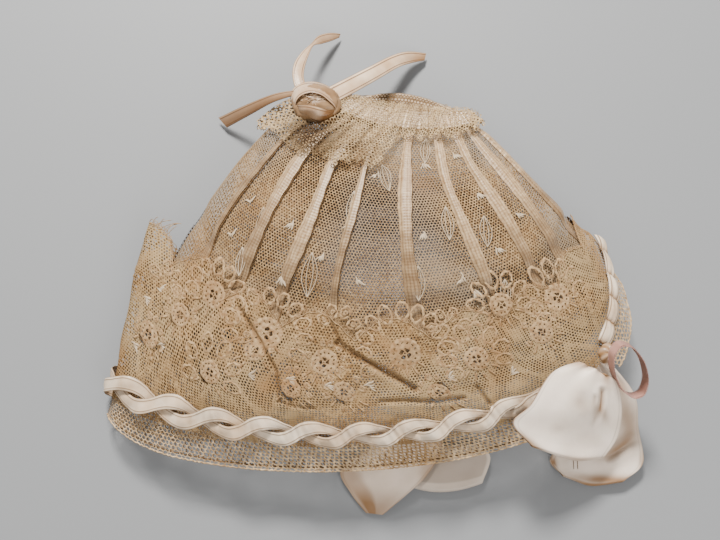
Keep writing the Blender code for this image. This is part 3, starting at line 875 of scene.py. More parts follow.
def away_from(points, line):
    """Distance of plan points from a line of plan points, in millimetres."""
    nearest = np.full(points.shape[:-1], 1e9)
    for a, b in zip(line, line[1:]):
        run = b - a
        share = np.clip(((points - a) @ run) / (run @ run), 0.0, 1.0)
        nearest = np.minimum(nearest, np.linalg.norm(points - a - share[..., None] * run, axis=-1))
    return nearest


fold_lines = [
    (body(*spots(lace_seen, pixels).T)[:, :2], depth, width) for pixels, depth, width in FOLDS_PX]


def creased(points, upper):
    """How deep the creases are at each point of the lace: (depth, 0 to 1 share)."""
    depth, share = np.zeros(points.shape[:-1]), np.zeros(points.shape[:-1])
    for line, deep, width in fold_lines:
        gap = away_from(points[..., :2], line)
        groove = np.exp(-(gap / width) ** 2)
        lip = np.exp(-((gap - 2.4 * width) / (1.3 * width)) ** 2)
        depth += deep * groove - 0.12 * deep * lip
        share = np.maximum(share, groove * min(1.0, deep / 1.6))
    return np.where(upper, depth, 0.0), np.where(upper, share, 0.0)


def lace_skin(s, phi, lift=0.0):
    """Points at a height above the lace, with its creases and soft puckers."""
    s, phi, lift = np.broadcast_arrays(s, phi, lift)
    flat = body(s, phi) + flare(s, phi)
    depth, _ = creased(flat, phi > 0.0)
    pucker = 0.35 * np.sin(0.21 * flat[..., 0] + 0.9 * np.sin(0.13 * flat[..., 1]))
    pucker += 0.25 * np.sin(0.33 * flat[..., 1] - 0.17 * flat[..., 0])
    points = flat + outward(s, phi) * (lift + pucker - depth + 0.3)[..., None]
    points[..., 2] = np.maximum(points[..., 2], TABLE_CLEAR)
    return points


def shade_and_soil_creases(piece):
    """Darken the creases of a piece that lies on the lace: soil and painted shade."""
    set_values(piece, "age", creased(points_of(piece) / MM, True)[1])


LACE_GORES = (0.0, 0.08, 0.72, 0.84, 0.92, 0.965, 1.0)   # so that its mesh stays even at the nape


def lace_cells(centres):
    """Which cells of the ground are there: below the scallops, outside the flowers."""
    def kept(s, phi):
        plan = (body(s, phi) + flare(s, phi))[:, :2]
        gap = np.linalg.norm(plan[:, None] - centres[None], axis=2).min(axis=1)
        return (s > band_top(across_at(phi)) + 0.004) & (gap > 0.80 * FLOWER_RADIUS)
    return kept


def cloth_stitch(s, phi):
    """Cloth stitch fills the net in along the scallops and in upright sprays."""
    t = across_at(phi)
    rim = s - band_top(t)
    bands = 0.5 + 0.5 * np.sin(2.0 * math.pi * (rim * 9.0 + 0.6 * np.sin(60.0 * t)))
    sprays = 0.5 + 0.5 * np.sin(44.0 * math.pi * t) * np.sin(30.0 * s)
    filled = 0.55 * bands * smooth(0.0, 0.02, rim) + 0.5 * sprays
    uneven = 0.16 * np.sin(4111.0 * s) * np.sin(2713.0 * phi)
    return np.clip(1.04 - 0.58 * smooth(0.45, 0.95, filled) + uneven, 0.34, 1.14)


def polar_cloth(name, sectors, radii, cut, profile):
    """Round cloth-stitch motif from a grid bent into a disc; cut(ring, sector)
    takes cells out, and the holes are rounded by a subdivision."""
    bpy.ops.object.select_all(action="DESELECT")
    bpy.ops.mesh.primitive_grid_add(x_subdivisions=sectors, y_subdivisions=len(radii) - 1, size=2.0)
    motif = bpy.context.object
    motif.name = name
    flat = points_of(motif)
    angle = math.pi * flat[:, 0]
    ring = np.rint((flat[:, 1] + 1.0) * 0.5 * (len(radii) - 1)).astype(int)
    radius = np.array(radii)[ring]
    disc = np.stack((radius * np.cos(angle), radius * np.sin(angle), np.array(profile)[ring]), axis=1)
    cells = motif.data.polygons
    motif.data.vertices.foreach_set("select", np.zeros(len(flat), bool))
    motif.data.edges.foreach_set("select", np.zeros(len(motif.data.edges), bool))
    for k, cell in enumerate(cells):
        cell.select = cut(k // sectors, k % sectors)
    bpy.context.tool_settings.mesh_select_mode = (False, False, True)
    motif.data.vertices.foreach_set("co", disc.ravel())
    bpy.ops.object.mode_set(mode="EDIT")
    bpy.ops.mesh.delete(type="FACE")
    bpy.ops.mesh.select_mode(type="VERT")
    bpy.ops.mesh.select_all(action="SELECT")
    bpy.ops.mesh.remove_doubles(threshold=0.001)
    bpy.ops.mesh.normals_make_consistent(inside=False)
    bpy.ops.object.mode_set(mode="OBJECT")
    rounding = motif.modifiers.new("rounding", "SUBSURF")
    rounding.levels = rounding.render_levels = 1
    bpy.ops.object.modifier_apply(modifier=rounding.name)
    return motif


def repeat_motif(motif, name, points):
    """Copies of a motif joined in one mesh; points holds each copy's vertices."""
    faces = [tuple(face.vertices) for face in motif.data.polygons]
    count = points.shape[1]
    mesh = bpy.data.meshes.new(name)
    mesh.from_pydata(
        (points.reshape(-1, 3) * MM).tolist(), [],
        [tuple(v + k * count for v in face) for k in range(len(points)) for face in faces])
    mesh.polygons.foreach_set("use_smooth", np.ones(len(mesh.polygons), bool))
    piece = bpy.data.objects.new(name, mesh)
    bpy.context.collection.objects.link(piece)
    return piece


def sew_on(motif, name, surface, places, lift=0.12):
    """Copies of a flat motif on a surface. Each place is (s, phi, turn, scale,
    sideways, down): the last two shift it, in millimetres, before it is laid."""
    flat = points_of(motif)
    s, phi, turn, scale, aside, down = [column[:, None] for column in np.array(places).T]
    x = scale * (flat[:, 0] * np.cos(turn) - flat[:, 1] * np.sin(turn)) + aside
    y = scale * (flat[:, 0] * np.sin(turn) + flat[:, 1] * np.cos(turn)) + down
    x, y = x + 0.15 * np.sin(3.7 * y + 50.0 * phi), y + 0.15 * np.sin(3.1 * x + 70.0 * phi)
    per_mm = 0.02 / np.linalg.norm(body(s + 0.01, phi) - body(s - 0.01, phi), axis=-1)
    rows = s + y * per_mm
    around = phi_at(rows, arc_of(rows, phi) + x)
    return repeat_motif(motif, name, surface(rows, around, lift + scale * flat[:, 2]))


flower_motif = polar_cloth(
    "flower_motif", 28, (0.24, 0.55, 1.55, 1.85, 2.25, 2.65, 3.3, 3.75, 4.25),
    lambda ring, sector: (ring == 1 and sector % 7 > 1) or (ring == 5 and sector % 2 == 0),
    (0.02, 0.04, 0.06, 0.12, 0.02, 0.00, 0.02, 0.06, -0.12))
loop_motif = polar_cloth(
    "loop_motif", 12, (0.42, 0.66, 0.95, 1.2, 1.45),
    lambda ring, sector: ring == 1 and sector % 3 == 0,
    (-0.02, 0.06, 0.02, 0.12, -0.10))
leaf_motif, leaf_points = round_piece("leaf_motif", 8, 6)
leaf_points = leaf_points[:, (0, 2, 1)] * np.array((0.44, 2.2, 0.22))
leaf_motif.data.vertices.foreach_set("co", leaf_points.ravel())
petal_motif = polar_cloth(
    "petal_motif", 20, (1.72, 2.05, 2.5), lambda ring, sector: ring == 0 and sector % 5 == 0,
    (-0.05, 0.14, -0.10))
petal_points = points_of(petal_motif) * np.array((1.0, 1.35, 1.0))
petal_motif.data.vertices.foreach_set("co", petal_points.ravel())


def beside(spot, angle, turn, size, reach):
    """Place of a motif at a reach and an angle from a spot, as sew_on takes it."""
    return (*spot, turn, size, reach * math.cos(angle), reach * math.sin(angle))


flower_spots = spots(lace_seen, [row[:2] for row in FLOWER_PX])
fan_spots = spots(lace_seen, FAN_PX)
far_spots = np.array([(0.66 + 0.06 * (k % 2), -0.32 - 0.31 * k) for k in range(9)])
dice = random.Random(11)
flowers, loops, leaves, petals = [], [], [], []
sizes = [row[2:] for row in FLOWER_PX] + [(1.0, 0, 0.0)] * len(far_spots)
for (s, phi), (size, count, far) in zip((*flower_spots, *far_spots), sizes):
    flowers.append((s, phi, dice.uniform(0.0, 6.3), size * dice.uniform(0.95, 1.05), 0.0, 0.0))
    for k in range(count):
        angle = math.radians(-200.0 + 220.0 * k / (count - 1) + dice.uniform(-2.0, 2.0))
        petals.append(beside((s, phi), angle, angle - 0.5 * math.pi, dice.uniform(0.92, 1.05), far))
        leaves.append(beside((s, phi), angle, angle - 0.5 * math.pi, 0.40, 0.57 * far))
    for k in range(8 if count == 0 else 0):
        angle = math.radians(-195.0 + 30.0 * k + dice.uniform(-5.0, 5.0))
        reach = dice.uniform(5.9, 6.6)
        if dice.random() < 0.75:
            loops.append(beside((s, phi), angle, angle, dice.uniform(0.72, 0.95), reach))
    for k in range(5):
        angle = math.radians(40.0 + 25.0 * k)
        leaves.append(beside((s, phi), angle, angle - 0.5 * math.pi, 0.85, 6.9))
for s, phi in fan_spots:
    for k in range(4):
        angle = math.radians(-165.0 + 50.0 * k + dice.uniform(-5.0, 5.0))
        petals.append(beside((s, phi), angle, angle - 0.5 * math.pi, dice.uniform(0.72, 0.85), 5.4))
        loops.append(beside((s, phi), angle, angle, dice.uniform(0.5, 0.7), 5.2))

lace_cotton = aged_thread("lace_cotton", (0.385, 0.245, 0.112), (0.185, 0.0977, 0.037), (0.245, 0.115, 0.035),
                          washed=(0.35, 0.245, 0.126))
motif_cotton = aged_thread("motif_cotton", (0.45, 0.305, 0.162), (0.23, 0.128, 0.057), (0.264, 0.132, 0.046))
gores = []
for before, after in zip(LACE_GORES, LACE_GORES[1:]):
    gores.append(net_gore(
        "gore", *gore_sides(before, after), LACE_PITCH, LACE_BAR, 0.50, 1.0, lace_skin,
        lace_cells(lace_skin(*flower_spots.T)[:, :2]), cloth_stitch))
ground = join("lace_ground", gores)
shade_and_soil_creases(ground)
dress(ground, "lace_band", lace_cotton, "ecru_lace")
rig.sheet(ground, held="draped", rests_on=["crown_net_upper"], **cut_size(0.56, 1.0, 0.0, math.pi, lace_skin))
ground_below = net_gore(
    "lace_ground_below", -0.5 * math.pi, lambda s: arc_of(s, -math.pi), lambda s: 0.0 * s + 0.5, 1.3,
    LACE_BAR, 0.50, 1.0, lace_skin, lace_cells(lace_skin(*far_spots.T)[:, :2]), cloth_stitch)
dress(ground_below, "lace_band", shaded_cotton, "ecru_lace")
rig.sheet(ground_below, held="laid", rests_on=["crown_net_below"],
         **cut_size(0.56, 1.0, -math.pi, 0.0, lace_skin, solid=BELOW_SHARE))
for name, motif, places in (("lace_flowers", flower_motif, flowers), ("lace_loops", loop_motif, loops),
                            ("lace_petals", petal_motif, petals), ("lace_leaves", leaf_motif, leaves)):
    sewn = sew_on(motif, name, lace_skin, places)
    shade_and_soil_creases(sewn)
    dress(sewn, "lace_band", motif_cotton, "ecru_lace")

scallop_t = np.linspace(0.0, 1.0, 900)
scallop_s = band_top(scallop_t) + 0.006
scallop_run = [lace_skin(scallop_s + 0.002 * np.sin(330.0 * scallop_t), phi_of(scallop_t), 0.12)]
picots = []
for t in np.arange(0.003, 0.997, 0.0052):
    bend = np.linspace(0.0, math.pi, 6)
    along = np.clip(t + 0.0021 * np.cos(bend), 0.0, 1.0)
    picots.append(lace_skin(band_top(along) + 0.004 - 0.011 * np.sin(bend), phi_of(along), 0.1))
for k in range(7):
    reach = np.linspace(0.0, 1.0, 9)
    strand = lace_skin(0.545 - 0.03 * reach, phi_of(0.004 + 0.004 * k + 0.010 * reach), 0.2)
    strand[:, 0] += dice.uniform(-2.0, 3.0) * reach**2
    strand[:, 1] += dice.uniform(0.5, 2.5) * np.sin(2.4 * reach)
    picots.append(strand)
scallop_cord = threads("lace_scallop_cord", scallop_run, 0.15)
scallop_picots = threads("lace_picots", picots, 0.11, resolution=0)
for edging in (scallop_cord, scallop_picots):
    dress(edging, "lace_band", motif_cotton, "ecru_lace")


# Sprigs
# Small white leaves in satin stitch, scattered over the crown net and the lace
# in fours with a dot.

SPRIG_PX = ((296, 172, 30), (289, 229, 12), (278, 284, -20), (376, 179, 20), (390, 132, 5),
            (355, 285, -35), (464, 283, 20), (478, 298, -10), (348, 230, 10), (424, 170, -15),
            (425, 240, 8), (455, 160, -25), (520, 220, -30), (250, 205, 35), (500, 255, -20),
            (232, 238, 30), (410, 285, 0), (320, 262, 15), (480, 200, -20))
LOW_SPRIG_PX = ((163, 294, 50), (151, 303, 95), (140, 349, 100), (255, 377, 80), (297, 381, 95),
                (165, 350, 85), (376, 385, 100), (455, 378, 80), (518, 372, 70), (335, 386, 90))

sprigs = []
for pixels, seen in ((SPRIG_PX, crown_seen), (LOW_SPRIG_PX, lace_seen)):
    for (s, phi), (_, _, turn) in zip(spots(seen, [row[:2] for row in pixels]), pixels):
        lean = math.radians(turn)
        for side, size in ((-0.50, 0.95), (0.55, 0.75), (-0.18, 0.7), (0.2, 0.6), (0.0, 0.26)):
            angle = lean + side + dice.uniform(-0.12, 0.12)
            reach = -2.9 if side == 0.0 else 2.1 * size
            sprigs.append((s, phi, angle, size * dice.uniform(0.8, 1.0), -reach * math.sin(angle),
                           -reach * math.cos(angle)))
white_floss = aged_thread("white_floss", (0.546, 0.437, 0.304), (0.37, 0.274, 0.17), (0.36, 0.245, 0.137),
                          roughness=0.5, sheen=0.1)


def over_all(s, phi, lift):
    """Points over the net, and over the lace where that lies on it."""
    on_lace = (s > band_top(across_at(phi)))[..., None]
    return np.where(on_lace, lace_skin(s, phi, lift), skin(s, phi, lift + 0.3))


sprig_piece = sew_on(leaf_motif, "white_sprigs", over_all, sprigs, lift=0.05)
dress(sprig_piece, None, white_floss, "ecru_net")

# Darned pods and stems between the pleats, in a finer thread

POD_PX = ((310, 276, 12, 9.0), (352, 208, 8, 6.5), (385, 178, 30, 6.0), (418, 284, -8, 7.5),
          (447, 224, -12, 7.0), (486, 232, -25, 7.0), (262, 224, 38, 6.5), (240, 262, 30, 6.0),
          (505, 292, -25, 6.0), (425, 152, -5, 6.0))
pods = []
for (s, phi), (_, _, turn, size) in zip(spots(crown_seen, [row[:2] for row in POD_PX]), POD_PX):
    lean = math.radians(turn)
    for width in (-0.30, -0.14, 0.10, 0.28):
        run = np.linspace(-1.0, 1.0, 17)
        x, y = width * size * np.cos(0.5 * math.pi * run), 0.62 * size * run
        x, y = x * math.cos(lean) + y * math.sin(lean), y * math.cos(lean) - x * math.sin(lean)
        rows = s - y / 95.0
        pods.append(over_all(rows, phi_at(rows, arc_of(rows, phi) - x), np.full_like(rows, 0.12)))
darned = threads("darned_pods", pods, 0.13)
dress(darned, None, white_floss, "ecru_net")
for motif in (flower_motif, loop_motif, petal_motif, leaf_motif):
    bpy.data.objects.remove(motif, do_unlink=True)


# Face and nape frills
# Narrow strips of coarser net, gathered and sewn on behind the lace edge, each
# with a hem thread along its free side.

FRILL_PITCH, FRILL_BAR = 1.55, 0.40
FRILL_GAP = 0.8            # between the lace and the frill that is sewn on behind it
FACE_FRILL_DEPTH, NAPE_FRILL_DEPTH = 9.5, 6.0
FRILL_TUCK = 1.6           # of each strip, that runs in under the lace
UNDER_LAYER_SHORT = 1.6    # how much shallower the face frill's under layer is


def frill_point(phi, depth, wave):
    """Points of a frill that runs out from the face edge."""
    edge = body(1.0, phi)
    out = unit(edge - body(0.95, phi))
    reach = FRILL_GAP + depth * (0.5 + 0.5 * smooth(0.0, 0.75, np.abs(phi)))
    points = edge + out * reach[..., None]
    points[..., 2] = np.maximum(points[..., 2] + np.where(phi > 0.0, wave, 0.0), TABLE_CLEAR)
    return points


def net_frill(name, node, start_phi, end_phi, depth, ruffles, cotton, below=0.0):
    """Gathered net strip along the face edge and its hem thread."""
    start, end = float(arc_of(1.0, start_phi)), float(arc_of(1.0, end_phi))
    length = end - start
    strip = flat_net(name, length, depth + FRILL_TUCK, FRILL_PITCH, FRILL_BAR)

    def where(x, y):
        gathers = 0.10 * np.sin(0.9 * x) * np.sin(0.37 * x + 0.5)
        level = y / depth
        swing = 0.7 * np.sin(2.0 * math.pi * ruffles * (x / length + 0.5)) + gathers * 4.0
        crimp = 0.30 * np.sin(2.9 * x + 0.4 * np.sin(x)) * (1.0 - level)
        wave = 0.9 * level * swing - 1.5 * level + crimp - below
        phi = phi_at(1.0 + 0.0 * x, start + 0.5 * length + x + 0.35 * level * np.sin(1.3 * x))
        return frill_point(phi, y, wave)

    def keep(x, y):
        return (np.abs(x) < 0.5 * length) & (y - FRILL_TUCK < depth)

    def close(x, y):
        share = (start + 0.5 * length + x) / float(arc_of(1.0, 0.5 * math.pi))
        return 1.08 - 0.26 * smooth(0.25, 0.62, share) + 0.12 * np.sin(5.0 * x) * np.sin(3.0 * y + x)

    cut_net(strip, keep)
    lay_net(strip, lambda x, y, drop: where(x, y - FRILL_TUCK) - drop[:, None] * UP, close)
    dress(strip, node, cotton, "coarse_net")
    x = np.linspace(-0.5 * length, 0.5 * length, int(length * 2.5))
    hem = threads(name + "_hem", [where(x, np.full_like(x, depth + 0.1) + 0.18 * np.sin(3.7 * x))], 0.26)
    dress(hem, node, cotton, "coarse_net")
    return strip, length


frill_cotton = aged_thread("frill_cotton", (0.63, 0.46, 0.272), (0.26, 0.163, 0.08), (0.286, 0.156, 0.054))
face_frill, face_frill_length = net_frill(
    "face_frill_net", "face_frill", -phi_of(0.74), phi_of(0.635), FACE_FRILL_DEPTH, 15, frill_cotton)
frill_flat = (face_frill_length * MM, (FACE_FRILL_DEPTH + FRILL_TUCK) * MM)
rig.sheet(face_frill, flat=frill_flat, held="gathered", rests_on=["lace_ground"],
         area=FRILL_SHARE * frill_flat[0] * frill_flat[1])
# The under layer is in the darker cotton: painted shade beneath the frill.
net_frill("face_frill_under_layer", "face_frill", phi_of(0.02), phi_of(0.625),
          FACE_FRILL_DEPTH - UNDER_LAYER_SHORT, 9, shaded_cotton, below=1.3)
net_frill(
    "nape_frill_net", "neck_frill", phi_of(0.79), phi_of(0.985), NAPE_FRILL_DEPTH, 3, frill_cotton)


# Crown frill
# A collar of net, gathered round the crown under the draw ribbon. It falls
# over the pleats on the upper side and stands out flat on the other.

CROWN_FRILL_START, CROWN_FRILL_LIFT = 0.035, 2.2
ROSE_SHADOW_PX, ROSE_SHADOW_SIZE = (311.0, 136.0), (30.0, 24.0)        # painted shadow of the rosette on the collar


def collar_reach(phi):
    """How far the collar runs down the body, as a length of s."""
    t = across_at(phi)
    reach = 0.02 + 0.10 * smooth(0.52, 0.42, t) + 0.09 * smooth(0.35, 0.05, t)
    return reach * smooth(-0.4, 0.05, np.sin(phi))


def collar_point(phi, level, ruffle):
    """Points of the collar, from the draw ribbon (0) to its free edge (1)."""
    wave = np.sin(14.0 * phi) + ruffle
    share = smooth(-0.35, 0.0, np.sin(phi))[..., None]
    stand = 10.5 * np.abs(np.sin(phi)) ** 0.6
    over_ring = 0.08 * smooth(0.0, 0.5, np.sin(phi))
    lift = CROWN_FRILL_LIFT + 0.9 * (1.0 - level) + level * (0.9 + 0.6 * wave) + 0.42 * ruffle
    falling = skin(CROWN_FRILL_START - over_ring + (collar_reach(phi) + over_ring) * level, phi, lift)
    root = skin(CROWN_FRILL_START + 0.0 * phi, phi, CROWN_FRILL_LIFT + 1.3 * (1.0 - share[..., 0]))
    standing = root.copy()
    standing[..., 1] += stand * level
    standing[..., 2] += 0.4 * wave * level
    return standing + (falling - standing) * share


def collar_length(phi):
    """Depth of the collar in millimetres at an angle."""
    return np.linalg.norm(collar_point(phi, 1.0, 0.0) - collar_point(phi, 0.0, 0.0), axis=-1)


COLLAR_FIT = 0.14          # the section whose length the gathered strip is cut to
collar_start = float(arc_of(COLLAR_FIT, -math.pi))
collar_width = float(arc_of(COLLAR_FIT, math.pi)) - collar_start
collar = flat_net("crown_collar", collar_width, 32.0, 1.25, 0.42)


def collar_where(x, y):
    phi = phi_at(COLLAR_FIT + 0.0 * x, collar_start + 0.5 * collar_width + x)
    ruffle = 0.9 * np.sin(0.83 * x + 0.9 * np.sin(0.31 * x)) + 0.5 * np.sin(2.3 * x + 0.2 * y)
    return phi, y / np.maximum(collar_length(phi), 1.0), ruffle


def collar_keep(x, y):
    phi, level, _ = collar_where(x, y)
    edge = 1.0 + 0.05 * np.sin(0.45 * x) + 0.03 * np.sin(1.7 * x) + 0.02 * np.sin(5.1 * x)
    return (np.abs(x) < 0.5 * collar_width) & (level < edge)


def collar_place(x, y, drop):
    phi, level, ruffle = collar_where(x, y)
    return collar_point(phi, level, ruffle) - drop[:, None] * UP


def collar_close(x, y):
    return 1.02 - 0.30 * smooth(0.1, 0.9, np.sin(0.37 * x + 0.4 * y) * np.sin(0.23 * y + 0.11 * x))


cut_net(collar, collar_keep)
lay_net(collar, collar_place, collar_close)
# Painted shadow: the collar turns to its dark brown stain colour where the rosette's shadow falls on it.
rose_shadow = (photo_px(points_of(collar) / MM) - np.array(ROSE_SHADOW_PX)) / np.array(ROSE_SHADOW_SIZE)
set_values(collar, "age", np.exp(-np.linalg.norm(rose_shadow, axis=1) ** 3))
collar_cotton = aged_thread("collar_cotton", (0.53, 0.39, 0.22), (0.264, 0.165, 0.076), (0.10, 0.05, 0.019))
dress(collar, "crown_frill", collar_cotton, "coarse_net")
collar_phi = np.linspace(-math.pi, math.pi, 200)
collar_depth = collar_length(collar_phi)
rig.sheet(collar, flat=(collar_width * MM, float(collar_depth.max()) * MM), held="gathered",
         rests_on=["crown_net_upper"],
         area=COLLAR_SHARE * collar_width * float(collar_depth.mean()) * MM * MM)


# Face ribbons
# Two narrow cream satin ribbons with corded edges, sewn along the face edge so
# that they wave in turn and pass over and under each other.

RIBBON_WIDTH = 5.4
RIBBON_INSET, RIBBON_SWING = 6.6, 3.3
RIBBON_HALF_WAVE, RIBBON_FIRST = 17.0, 9.5
RIBBON_LIFT, RIBBON_HOP = 1.5, 0.8
RIBBON_CLOTH = 0.22


def inset(millimetres, phi):
    """Section that lies that far in from the face edge."""
    run = np.linalg.norm(body(1.0, phi) - body(0.94, phi), axis=-1)
    return 1.0 - 0.06 * millimetres / run


def corded(side):
    """Height of the cord woven in near each edge of a narrow ribbon."""
    return 0.20 * np.exp(-((np.abs(side) - 0.80) / 0.12) ** 2)


def satin(name, pale, deep, tan, roughness=0.33, rib=3.2, edge_line=1.0, crumple=2.0, wide=False):
    """Satin: a soft sheen across fine ribs, a little cloudy with age, tan where the
    attribute "shade" says, for old satin and for painted shade, with a woven line
    inside each edge of the ribbon."""
    made, tree, shader = new_material(name)
    coordinates = tree.nodes.new("ShaderNodeTexCoord")
    colour = ramp(tree, noise(tree, coordinates.outputs["Object"], 95.0, 4.0), (0.32, deep), (0.66, pale))
    colour = mixed(tree, point_values(tree, "shade"), colour, tan)
    if edge_line:
        stops = (0.91, 0.935, 0.95, 0.985, 1.0) if wide else (0.56, 0.68, 0.80, 0.90, 1.0)
        strong = (0.0, edge_line, 0.0, 0.0, edge_line)
        greys = ((stop, (value,) * 3) for stop, value in zip(stops, strong))
        line = ramp(tree, point_values(tree, "edge"), *greys)
        colour = mixed(tree, line, colour, tuple(0.62 * v for v in tan))
    tree.links.new(colour, shader.inputs["Base Color"])
    shader.inputs["Roughness"].default_value = roughness
    shader.inputs["Anisotropic"].default_value = 0.45
    weave = tree.nodes.new("ShaderNodeTexWave")
    weave.bands_direction = "X"
    weave.inputs["Scale"].default_value = 0.5 * rib
    weave.inputs["Distortion"].default_value = 0.6
    weave.inputs["Detail"].default_value = 1.0
    tree.links.new(coordinates.outputs["UV"], weave.inputs["Vector"])
    slub = noise(tree, coordinates.outputs["Object"], 900.0, 3.0)
    creases = noise(tree, coordinates.outputs["Object"], 190.0, 2.0)
    relief = tree.nodes.new("ShaderNodeMath")
    relief.operation = "MULTIPLY_ADD"
    tree.links.new(creases, relief.inputs[0])
    relief.inputs[1].default_value = crumple
    fine = tree.nodes.new("ShaderNodeMath")
    fine.operation = "ADD"
    tree.links.new(weave.outputs["Fac"], fine.inputs[0])
    tree.links.new(slub, fine.inputs[1])
    tree.links.new(fine.outputs[0], relief.inputs[2])
    bumped(tree, shader, relief.outputs[0], 0.30, 0.00006)
    return made


cream_satin = satin("cream_satin", (0.747, 0.616, 0.47), (0.577, 0.414, 0.266), (0.30, 0.178, 0.086),
                    roughness=0.28)
ribbon_s = float(inset(RIBBON_INSET, phi_of(0.5)))
ribbon_start = float(arc_of(ribbon_s, -phi_of(0.018)))
ribbon_arc = np.linspace(0.0, float(arc_of(ribbon_s, phi_of(0.70))) - ribbon_start, 300)
ribbon_phi = phi_at(np.full_like(ribbon_arc, ribbon_s), ribbon_start + ribbon_arc)
for name, node, turn in (("face_ribbon_front", "face_ribbon_a", 1.0),
                         ("face_ribbon_back", "face_ribbon_b", -1.0)):
    phase = math.pi * (ribbon_arc - RIBBON_FIRST) / RIBBON_HALF_WAVE
    tucked = 1.0 - smooth(-24.0, -8.0, ribbon_arc - ribbon_arc[-1])      # its end lies under the bow
    middle = RIBBON_INSET + turn * RIBBON_SWING * np.sin(phase) * tucked
    hop = np.clip(np.cos(phase) / 0.42, -1.0, 1.0)
    lift = RIBBON_LIFT + RIBBON_HOP * (1.0 + turn * hop)
    pinch = 1.0 - 0.10 * np.cos(phase) ** 4
    grid = []
    for side in np.linspace(-1.0, 1.0, 11):
        slack = 0.22 * np.sin(0.55 * ribbon_arc + 2.5 * side) * np.abs(np.sin(phase))
        slack += 0.16 * np.sin(1.9 * ribbon_arc + 1.8 * side + turn) * np.cos(phase) ** 2
        arch = 0.45 * (1.0 - side * side) * np.abs(np.sin(phase))
        place = inset(middle - side * 0.5 * RIBBON_WIDTH * pinch, ribbon_phi)
        grid.append(lace_skin(place, ribbon_phi, lift + slack + corded(side) + arch))
    # Painted shade: darker where each ribbon dips under the other, and in soft stretches along its length.
    dip_and_fold_shade = 0.34 * smooth(-0.1, -1.0, turn * np.cos(phase)) + 0.20 * smooth(
        0.2, 0.9, np.sin(0.31 * ribbon_arc + turn) * np.sin(0.83 * ribbon_arc))
    ribbon = cloth_grid(name, np.stack(grid, axis=1), RIBBON_CLOTH, shade=dip_and_fold_shade[:, None])
    dress(ribbon, node, cream_satin, "cream_satin")


# Nape ribbon
# The same satin, laid along the nape edge and pinched into a row of small
# bright puffs.

NAPE_SECTION, NAPE_INSET, PUFF_LENGTH = 0.97, 4.2, 8.6

nape_start, nape_end = (float(arc_of(NAPE_SECTION, phi_of(t))) for t in (0.80, 0.98))
nape_arc = np.linspace(nape_start, nape_end, 150)
nape_phi = phi_at(np.full_like(nape_arc, NAPE_SECTION), nape_arc)
puff = np.abs(np.sin(math.pi * (nape_arc - nape_start) / PUFF_LENGTH))
grid = []
for side in np.linspace(-1.0, 1.0, 11):
    swell = 1.8 * np.sqrt(puff) * (1.0 - 0.5 * side * side)
    gathers = 0.22 * np.sin(8.0 * side + 0.3 * nape_arc) * (1.0 - 0.6 * puff)
    place = inset(NAPE_INSET - side * 0.5 * RIBBON_WIDTH * (0.86 + 0.14 * puff), nape_phi)
    grid.append(lace_skin(place, nape_phi, 0.9 + swell + gathers))
across = np.linspace(-1.0, 1.0, 11)[None, :]
# Painted shade: darker in the pinches between the puffs, and in stripes down its folds.
nape_shade = 0.95 * (1.0 - puff[:, None]) ** 3 + 0.28 * smooth(
    0.0, 0.9, np.sin(5.0 * across + 0.5 * nape_arc[:, None]))
nape_ribbon = cloth_grid("nape_ribbon", np.stack(grid, axis=1), RIBBON_CLOTH, shade=nape_shade)
dress(nape_ribbon, "neck_ribbon", cream_satin, "cream_satin")


# Crown draw ribbon
# Satin ribbon laid round the gathered crown, puckered all round.

ring_phi = np.linspace(-math.pi, math.pi, 241)[:-1]
grid = []
for side in np.linspace(-1.0, 1.0, 7):
    pucker = 0.22 * np.sin(46.0 * ring_phi + 0.8 * side) + 0.12 * np.sin(17.0 * ring_phi)
    grid.append(skin(-0.0065 + 0.0285 * side + 0.0 * ring_phi, ring_phi, 2.1 + pucker))
draw_ribbon = cloth_grid("crown_draw_ribbon", np.stack(grid, axis=1), RIBBON_CLOTH, wrap=True)
dress(draw_ribbon, "crown_ring", cream_satin, "cream_satin")


# Rosette and its tails
# Satin ribbon rolled into a rosebud beside the crown. Three cut ends come out
# from under it and curve down towards the table.

def ribs_to_grid(ribs, along, across):
    """Smooth satin surface through ribs (left x y z, right x y z, arch)."""
    ribs = np.array(ribs, float)
    last = len(ribs) - 1
    u = np.linspace(0.0, last, along)
    k = np.minimum(u.astype(int), last - 1)
    f = (u - k)[:, None]
    a, b = ribs[np.maximum(k - 1, 0)], ribs[k]
    c, d = ribs[k + 1], ribs[np.minimum(k + 2, last)]
    rows = 0.5 * (2 * b + (c - a) * f + (2 * a - 5 * b + 4 * c - d) * f**2
                  + (3 * b - a - 3 * c + d) * f**3)
    w = np.linspace(0.0, 1.0, across)[None, :, None]
    points = rows[:, None, :3] * (1.0 - w) + rows[:, None, 3:6] * w
    points[..., 2] += rows[:, 6:7] * np.sin(math.pi * w[..., 0])
    return points


tan_satin = satin("tan_satin", (0.78, 0.60, 0.42), (0.55, 0.36, 0.21), (0.19, 0.084, 0.026), roughness=0.27)

